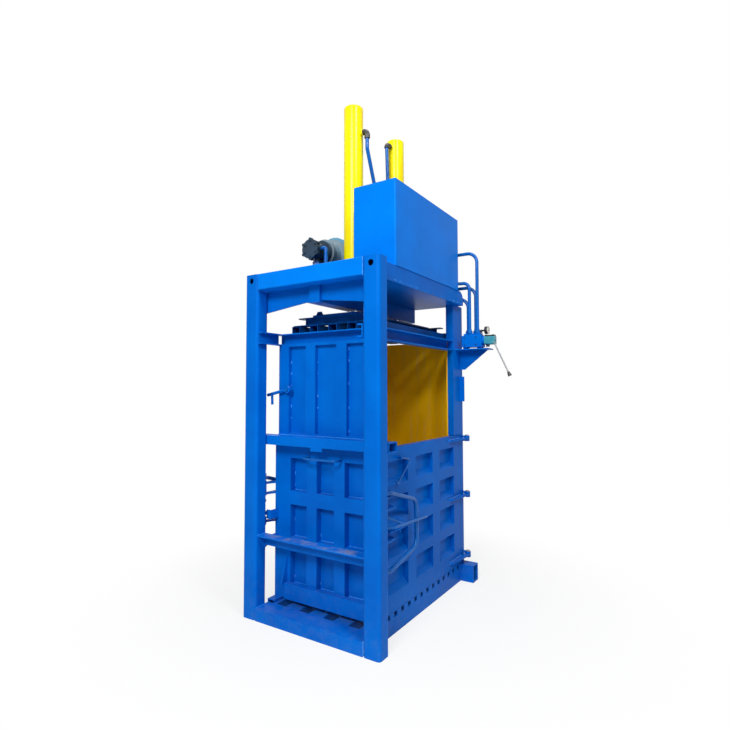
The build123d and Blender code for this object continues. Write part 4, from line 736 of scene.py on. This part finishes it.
# Beads on both sides of each hinge arm and latch arm, and one under the stay hook's bracket
doorSeam = {
    "x": 0.435,
    "hingeArms": {"levels": (0.190, 0.668, 1.118), "half": 0.007, "start": 0.349, "end": 0.574},
    "latchArms": {"levels": (0.606, 0.797, 0.868), "half": 0.006, "start": -0.617, "end": -0.550},
    "bracket": {"level": 0.642, "start": -0.589, "end": -0.431},
}


def makeDoorWelds(side, body):
    mesh = bmesh.new()
    x = side * doorSeam["x"]
    for arms in (doorSeam["hingeArms"], doorSeam["latchArms"]):
        for level in arms["levels"]:
            for z in (level - arms["half"], level + arms["half"]):
                addBead(mesh, (x, arms["start"], z), (x, arms["end"], z))
    if side > 0:
        bracket = doorSeam["bracket"]
        addBead(mesh, (x, bracket["start"], bracket["level"]), (x, bracket["end"], bracket["level"]))
    finishPiece(mesh, body + "Welds", "beadWithGlint", body, True)


# Each barrel's place, and where its upper port stands on it
barrels = {
    "front_cylinder_barrel": {"y": -0.307, "port": (0.070, 0.0), "portLevel": 3.366},
    "rear_cylinder_barrel": {"y": 0.307, "port": (0.0, -0.070), "portLevel": 3.493},
}
barrelSeam = {"lift": 0.0302, "radius": 0.0702, "thickness": 0.0045, "steps": 64}
portSeam = {"face": 0.070, "lift": 0.137, "radius": 0.0205, "thickness": 0.0032}


def makeCylinderWelds():
    mesh = bmesh.new()
    for name, barrel in barrels.items():
        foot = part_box(name)[0].z
        y, (outX, outY) = barrel["y"], barrel["port"]
        addRing(mesh, (0.0, y, foot + barrelSeam["lift"]), (0.0, 0.0, 1.0), barrelSeam["radius"],
                barrelSeam["thickness"], steps=barrelSeam["steps"], ripple=weld["ringRipple"])
        for centre, axis in (((outX, y + outY, barrel["portLevel"]), (outX, outY, 0.0)),
                             ((portSeam["face"], y, foot + portSeam["lift"]), (1.0, 0.0, 0.0))):
            addRing(mesh, centre, axis, portSeam["radius"], portSeam["thickness"], ripple=weld["ringRipple"])
    finishPiece(mesh, "cylinderWelds", "yellow", "root", True)


# Union nuts where the pipes meet the valve, the ports, the tank and the pump
pipework = {"radius": 0.0135, "nut": 0.040, "nutDepth": 0.024, "sleeve": 0.0165, "sleeveLength": 0.012,
            "sleeveSides": 24, "chamfer": 0.002, "portReach": 0.084, "portLevel": 2.340, "seam": 0.004}
returnStub = {"level": 2.372, "seamRadius": 0.0145, "nutOut": 0.010}
suction = {"radius": 0.020, "seamRadius": 0.021, "nut": 0.058, "nutDepth": 0.030, "drop": 0.004}


def makePipeUnions():
    mesh = bmesh.new()
    nut, depth = pipework["nut"], pipework["nutDepth"]
    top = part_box("valve_block")[1].z
    for name in ("cap_side_pipes", "rod_side_pipes", "return_pipe", "pressure_pipe"):
        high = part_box(name)[1]
        x, y = high.x - pipework["radius"], high.y - pipework["radius"]
        addNut(mesh, (x, y, top), (0, 0, 1), nut, depth)
        addBar(mesh, (x, y, top + depth), (x, y, top + depth + pipework["sleeveLength"]), pipework["sleeve"],
               pipework["sleeveSides"], chamfer=pipework["chamfer"])
    for barrel in barrels.values():
        addNut(mesh, (pipework["portReach"], barrel["y"], pipework["portLevel"]), (1, 0, 0), nut, depth)
    tankLow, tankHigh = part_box("oil_tank")
    stubX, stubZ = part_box("return_pipe")[0].x + pipework["radius"], returnStub["level"]
    addRing(mesh, (stubX, tankHigh.y, stubZ), (0, 1, 0), returnStub["seamRadius"], pipework["seam"],
            ripple=weld["ringRipple"])
    addNut(mesh, (stubX, tankHigh.y + returnStub["nutOut"], stubZ), (0, 1, 0), nut, depth)
    suctionLow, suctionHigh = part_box("suction_pipe")
    suctionY = (suctionLow.y + suctionHigh.y) / 2
    addRing(mesh, (tankLow.x, suctionY, suctionLow.z + suction["radius"]), (1, 0, 0), suction["seamRadius"],
            pipework["seam"], ripple=weld["ringRipple"])
    addNut(mesh, (suctionLow.x + suction["radius"], suctionY, suctionHigh.z - suction["drop"]), (0, 0, -1),
           suction["nut"], suction["nutDepth"])
    finishPiece(mesh, "pipeUnions", "pipe", "root")


# Black cast elbows on the upper ports; the front one ends in a second hexagon, the rear one in its pipe
elbow = {"thickness": 0.0195, "hexRadius": 0.022, "lowerHexRadius": 0.021, "chamfer": 0.002}
frontElbow = {"neckStart": 0.084, "neckEnd": 0.094, "x": 0.092, "bend": 0.026, "endX": 0.118, "endTop": 3.342,
              "endLow": 3.312}
rearElbow = {"neckStart": 0.223, "neckEnd": 0.192, "y": 0.195, "bend": 0.030}


def makeElbows():
    mesh = bmesh.new()
    y, z = barrels["front_cylinder_barrel"]["y"], barrels["front_cylinder_barrel"]["portLevel"]
    addBar(mesh, (frontElbow["neckStart"], y, z), (frontElbow["neckEnd"], y, z), elbow["hexRadius"], hexagon,
           chamfer=elbow["chamfer"])
    addElbow(mesh, (frontElbow["x"], y, z - frontElbow["bend"]), (frontElbow["x"], y, z), (0.0, 1.0, 0.0),
             elbow["thickness"])
    addBar(mesh, (frontElbow["endX"], y, frontElbow["endTop"]), (frontElbow["endX"], y, frontElbow["endLow"]),
           elbow["lowerHexRadius"], hexagon, chamfer=elbow["chamfer"])
    z = barrels["rear_cylinder_barrel"]["portLevel"]
    addBar(mesh, (0.0, rearElbow["neckStart"], z), (0.0, rearElbow["neckEnd"], z), elbow["hexRadius"], hexagon,
           chamfer=elbow["chamfer"])
    addElbow(mesh, (0.0, rearElbow["y"], z - rearElbow["bend"]), (0.0, rearElbow["y"], z), (1.0, 0.0, 0.0),
             elbow["thickness"])
    finishPiece(mesh, "portElbows", "black", "root")


# Rim, dial with its ticks and needle, and the union under the pressure gauge; angles from the top
gauge = {
    "rim": 0.031,
    "rimInset": 0.0025,
    "rimRing": 0.0028,
    "rimSides": 8,
    "sides": 48,
    "stem": {"x": 0.009, "nut": 0.022, "depth": 0.012},
    "dial": {"inset": 0.003, "back": 0.0005, "front": 0.0006},
    "ticks": {"count": 25, "start": -135.0, "sweep": 270.0, "inset": 0.006, "long": 0.0055, "short": 0.003,
              "longEvery": 4, "lift": 0.0008, "radius": 0.00045, "sides": 6},
    "needle": {"length": 0.021, "tail": 0.006, "lift": 0.0014, "radius": 0.0009, "tip": 0.0003, "sides": 8},
    "hub": {"height": 0.0026, "radius": 0.0028, "chamfer": 0.0006},
}


def makeGauge():
    low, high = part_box("pressure_gauge")
    stem, dial, ticks, needle, hub = (gauge[key] for key in ("stem", "dial", "ticks", "needle", "hub"))
    face, y, z = high.x, (low.y + high.y) / 2, high.z - gauge["rim"]
    mesh = bmesh.new()
    addRing(mesh, (face, y, z), (1, 0, 0), gauge["rim"] - gauge["rimInset"], gauge["rimRing"], gauge["rimSides"],
            gauge["sides"])
    addNut(mesh, (low.x + stem["x"], y, low.z), (0, 0, 1), stem["nut"], stem["depth"])
    finishPiece(mesh, "gaugeRim", "zinc", "root")
    mesh = bmesh.new()
    addBar(mesh, (face - dial["back"], y, z), (face + dial["front"], y, z), gauge["rim"] - dial["inset"],
           gauge["sides"])
    finishPiece(mesh, "gaugeDial", "dial", "root")
    mesh = bmesh.new()
    middle = Vector((face + ticks["lift"], y, z))
    outer = gauge["rim"] - ticks["inset"]
    for index in range(ticks["count"]):
        turn = math.radians(ticks["start"] + ticks["sweep"] * index / (ticks["count"] - 1))
        long = ticks["short"] if index % ticks["longEvery"] else ticks["long"]
        way = Vector((0.0, math.sin(turn), math.cos(turn)))
        addBar(mesh, middle + way * (outer - long), middle + way * outer, ticks["radius"], ticks["sides"])
    turn = math.radians(ticks["start"])
    way = Vector((0.0, math.sin(turn), math.cos(turn)))
    pivot = Vector((face + needle["lift"], y, z))
    addBar(mesh, pivot - way * needle["tail"], pivot + way * needle["length"], needle["radius"], needle["sides"],
           needle["tip"])
    addBar(mesh, (face, y, z), (face + hub["height"], y, z), hub["radius"], chamfer=hub["chamfer"])
    finishPiece(mesh, "gaugeMarks", "black", "root")


lidBolt = {"inset": 0.018, "across": 0.013, "depth": 0.008, "perEnd": 4, "perSide": 8}


def makeTankFittings():
    # Bolts round the edge of the lid
    mesh = bmesh.new()
    low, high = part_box("tank_lid")
    inset, ends, sides = lidBolt["inset"], lidBolt["perEnd"] - 1, lidBolt["perSide"] - 1
    across = [low.x + inset + (high.x - low.x - 2 * inset) * step / ends for step in range(ends + 1)]
    along = [low.y + inset + (high.y - low.y - 2 * inset) * step / sides for step in range(sides + 1)]
    spots = [(x, y) for x in across for y in (along[0], along[-1])]
    spots += [(x, y) for x in (across[0], across[-1]) for y in along[1:-1]]
    for x, y in spots:
        addNut(mesh, (x, y, high.z), (0, 0, 1), lidBolt["across"], lidBolt["depth"])
    finishPiece(mesh, "lidBolts", "zinc", "root")


footBolt = {"x": (-0.370, -0.150), "y": (-0.145, 0.105), "lift": 0.014, "across": 0.018, "depth": 0.011}
liftingEye = {"x": -0.260, "y": -0.018, "lift": 0.014, "radius": 0.016, "thickness": 0.0052, "foot": 0.013,
              "footLow": 0.006, "footHigh": 0.002, "chamfer": 0.002, "sides": 12}
terminalBox = {"halfY": 0.058, "low": 2.502, "high": 2.588, "front": 0.002, "back": 0.004, "chamfer": 0.0015}
terminalScrew = {"halfY": 0.048, "z": (2.512, 2.578), "front": 0.003, "back": 0.001, "radius": 0.0045,
                 "sides": 14, "chamfer": 0.001}
cableGland = {"x": -0.420, "z": 2.530, "nutEnd": 0.078, "nut": 0.014, "nutChamfer": 0.0015, "neckStart": 0.076,
              "neckEnd": 0.086, "neck": 0.010, "neckChamfer": 0.002}


def makeMotorFittings():
    mesh = bmesh.new()
    low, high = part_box("electric_motor")
    for x in footBolt["x"]:
        for y in footBolt["y"]:
            addNut(mesh, (x, y, low.z + footBolt["lift"]), (0, 0, 1), footBolt["across"], footBolt["depth"])
    for y in (-terminalScrew["halfY"], terminalScrew["halfY"]):
        for z in terminalScrew["z"]:
            addBar(mesh, (low.x - terminalScrew["front"], y, z), (low.x + terminalScrew["back"], y, z),
                   terminalScrew["radius"], terminalScrew["sides"], chamfer=terminalScrew["chamfer"])
    x, y = liftingEye["x"], liftingEye["y"]
    addRing(mesh, (x, y, high.z + liftingEye["lift"]), (0, 1, 0), liftingEye["radius"], liftingEye["thickness"],
            liftingEye["sides"])
    addBar(mesh, (x, y, high.z - liftingEye["footLow"]), (x, y, high.z + liftingEye["footHigh"]),
           liftingEye["foot"], chamfer=liftingEye["chamfer"])
    finishPiece(mesh, "motorFasteners", "zinc", "root")
    mesh = bmesh.new()
    half, x, z = terminalBox["halfY"], cableGland["x"], cableGland["z"]
    addPlate(mesh, (low.x - terminalBox["front"], -half, terminalBox["low"]),
             (low.x + terminalBox["back"], half, terminalBox["high"]), terminalBox["chamfer"])
    addBar(mesh, (x, half, z), (x, cableGland["nutEnd"], z), cableGland["nut"], hexagon,
           chamfer=cableGland["nutChamfer"])
    addBar(mesh, (x, cableGland["neckStart"], z), (x, cableGland["neckEnd"], z), cableGland["neck"],
           chamfer=cableGland["neckChamfer"])
    finishPiece(mesh, "terminalLid", "motor", "root")


headCap = {"left": 0.004, "right": 0.002, "inset": 0.004, "height": 0.009, "chamfer": 0.0015}
headPlug = {"x": 0.022, "across": 0.026, "depth": 0.016}
capScrew = {"left": 0.014, "right": 0.012, "inset": 0.012, "low": 0.008, "high": 0.013, "radius": 0.0048,
            "sides": 16, "chamfer": 0.001}
blockScrew = {"left": 0.024, "right": 0.060, "low": 0.034, "high": 0.032, "seat": 0.001, "head": 0.004,
              "radius": 0.0055, "chamfer": 0.001}


def makeValveFittings():
    low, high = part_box("valve_head")
    mesh = bmesh.new()
    addPlate(mesh, (low.x + headCap["left"], low.y + headCap["inset"], high.z),
             (high.x - headCap["right"], high.y - headCap["inset"], high.z + headCap["height"]), headCap["chamfer"])
    addNut(mesh, (low.x + headPlug["x"], (low.y + high.y) / 2, low.z), (0, 0, -1), headPlug["across"],
           headPlug["depth"])
    finishPiece(mesh, "valveCaps", "black", "root")
    mesh = bmesh.new()
    for x in (low.x + capScrew["left"], high.x - capScrew["right"]):
        for y in (low.y + capScrew["inset"], high.y - capScrew["inset"]):
            addBar(mesh, (x, y, high.z + capScrew["low"]), (x, y, high.z + capScrew["high"]), capScrew["radius"],
                   capScrew["sides"], chamfer=capScrew["chamfer"])
    low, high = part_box("valve_block")
    for x in (low.x + blockScrew["left"], high.x - blockScrew["right"]):
        for z in (low.z + blockScrew["low"], high.z - blockScrew["high"]):
            addBar(mesh, (x, low.y + blockScrew["seat"], z), (x, low.y - blockScrew["head"], z),
                   blockScrew["radius"], hexagon, chamfer=blockScrew["chamfer"])
    finishPiece(mesh, "valveScrews", "iron", "root")


makeFrameWelds()
makeBeamTab()
makeDoorWelds(1, "right_door")
makeDoorWelds(-1, "left_door")
makeCylinderWelds()
makePipeUnions()
makeElbows()
makeGauge()
makeTankFittings()
makeMotorFittings()
makeValveFittings()
print("small pieces made")


# Floor, lights and camera

def seenDirectly(tree):
    # 1 for rays that show the ground or the sky, 0 for rays that carry their light to the part
    rays = tree.nodes.new("ShaderNodeLightPath")
    direct = mathNode(tree, "MAXIMUM", rays.outputs["Is Camera Ray"], rays.outputs["Is Glossy Ray"])
    return mathNode(tree, "MAXIMUM", direct, rays.outputs["Is Transmission Ray"])


def makeFloor():
    # Glows more the further it is from the part, so the ground ends in pure white
    mesh = bmesh.new()
    bmesh.ops.create_grid(mesh, x_segments=1, y_segments=1, size=studio["floorSize"])
    data = bpy.data.meshes.new("studioFloor")
    mesh.to_mesh(data)
    mesh.free()
    floor = bpy.data.objects.new("studioFloor", data)
    bpy.context.scene.collection.objects.link(floor)
    material, tree, shader = startMaterial("studioFloor", studio["floorColour"], 0.0, studio["floorRoughness"])
    glow = tree.nodes.new("ShaderNodeEmission")
    glow.inputs["Color"].default_value = (1.0, 1.0, 1.0, 1.0)
    distance = tree.nodes.new("ShaderNodeVectorMath")
    distance.operation = "LENGTH"
    tree.links.new(tree.nodes.new("ShaderNodeTexCoord").outputs["Object"], distance.inputs[0])
    fade = rampNode(tree, distance.outputs["Value"], studio["fadeStart"], studio["fadeEnd"])
    share = mathNode(tree, "MULTIPLY", fade, 1.0 - studio["floorGlow"])
    share = mathNode(tree, "ADD", share, studio["floorGlow"])
    blend = tree.nodes.new("ShaderNodeMixShader")
    tree.links.new(mathNode(tree, "MULTIPLY", seenDirectly(tree), share), blend.inputs[0])
    tree.links.new(shader.outputs[0], blend.inputs[1])
    tree.links.new(glow.outputs[0], blend.inputs[2])
    tree.links.new(blend.outputs[0], tree.nodes["Material Output"].inputs["Surface"])
    data.materials.append(material)


def makeWorld():
    world = bpy.data.worlds.new("studioWorld")
    bpy.context.scene.world = world
    world.use_nodes = True
    tree = world.node_tree
    background = tree.nodes["Background"]
    strength = mathNode(tree, "MULTIPLY", seenDirectly(tree), 1.0 - studio["worldStrength"])
    strength = mathNode(tree, "ADD", strength, studio["worldStrength"])
    background.inputs["Color"].default_value = (1.0, 1.0, 1.0, 1.0)
    tree.links.new(strength, background.inputs["Strength"])


def makeLamp(name, lamp):
    light = bpy.data.lights.new(name, "AREA")
    light.shape = "SQUARE"
    light.size = lamp["size"]
    light.energy = lamp["energy"]
    piece = bpy.data.objects.new(name, light)
    piece.location = lamp["place"]
    piece.rotation_euler = (Vector(lamp["target"]) - Vector(lamp["place"])).to_track_quat("-Z", "Y").to_euler()
    bpy.context.scene.collection.objects.link(piece)


def makeCamera():
    data = bpy.data.cameras.new("photoCamera")
    data.lens = studio["lens"]
    data.sensor_width = studio["sensor"]
    camera = bpy.data.objects.new("photoCamera", data)
    camera.location = studio["eye"]
    camera.rotation_euler = (math.radians(90 + studio["pitch"]), math.radians(studio["roll"]),
                             math.radians(studio["heading"]))
    bpy.context.scene.collection.objects.link(camera)
    bpy.context.scene.camera = camera


makeFloor()
makeWorld()
for name, lamp in lamps.items():
    makeLamp(name, lamp)
makeCamera()
bpy.context.scene.view_settings.view_transform = "Standard"
print("studio ready")
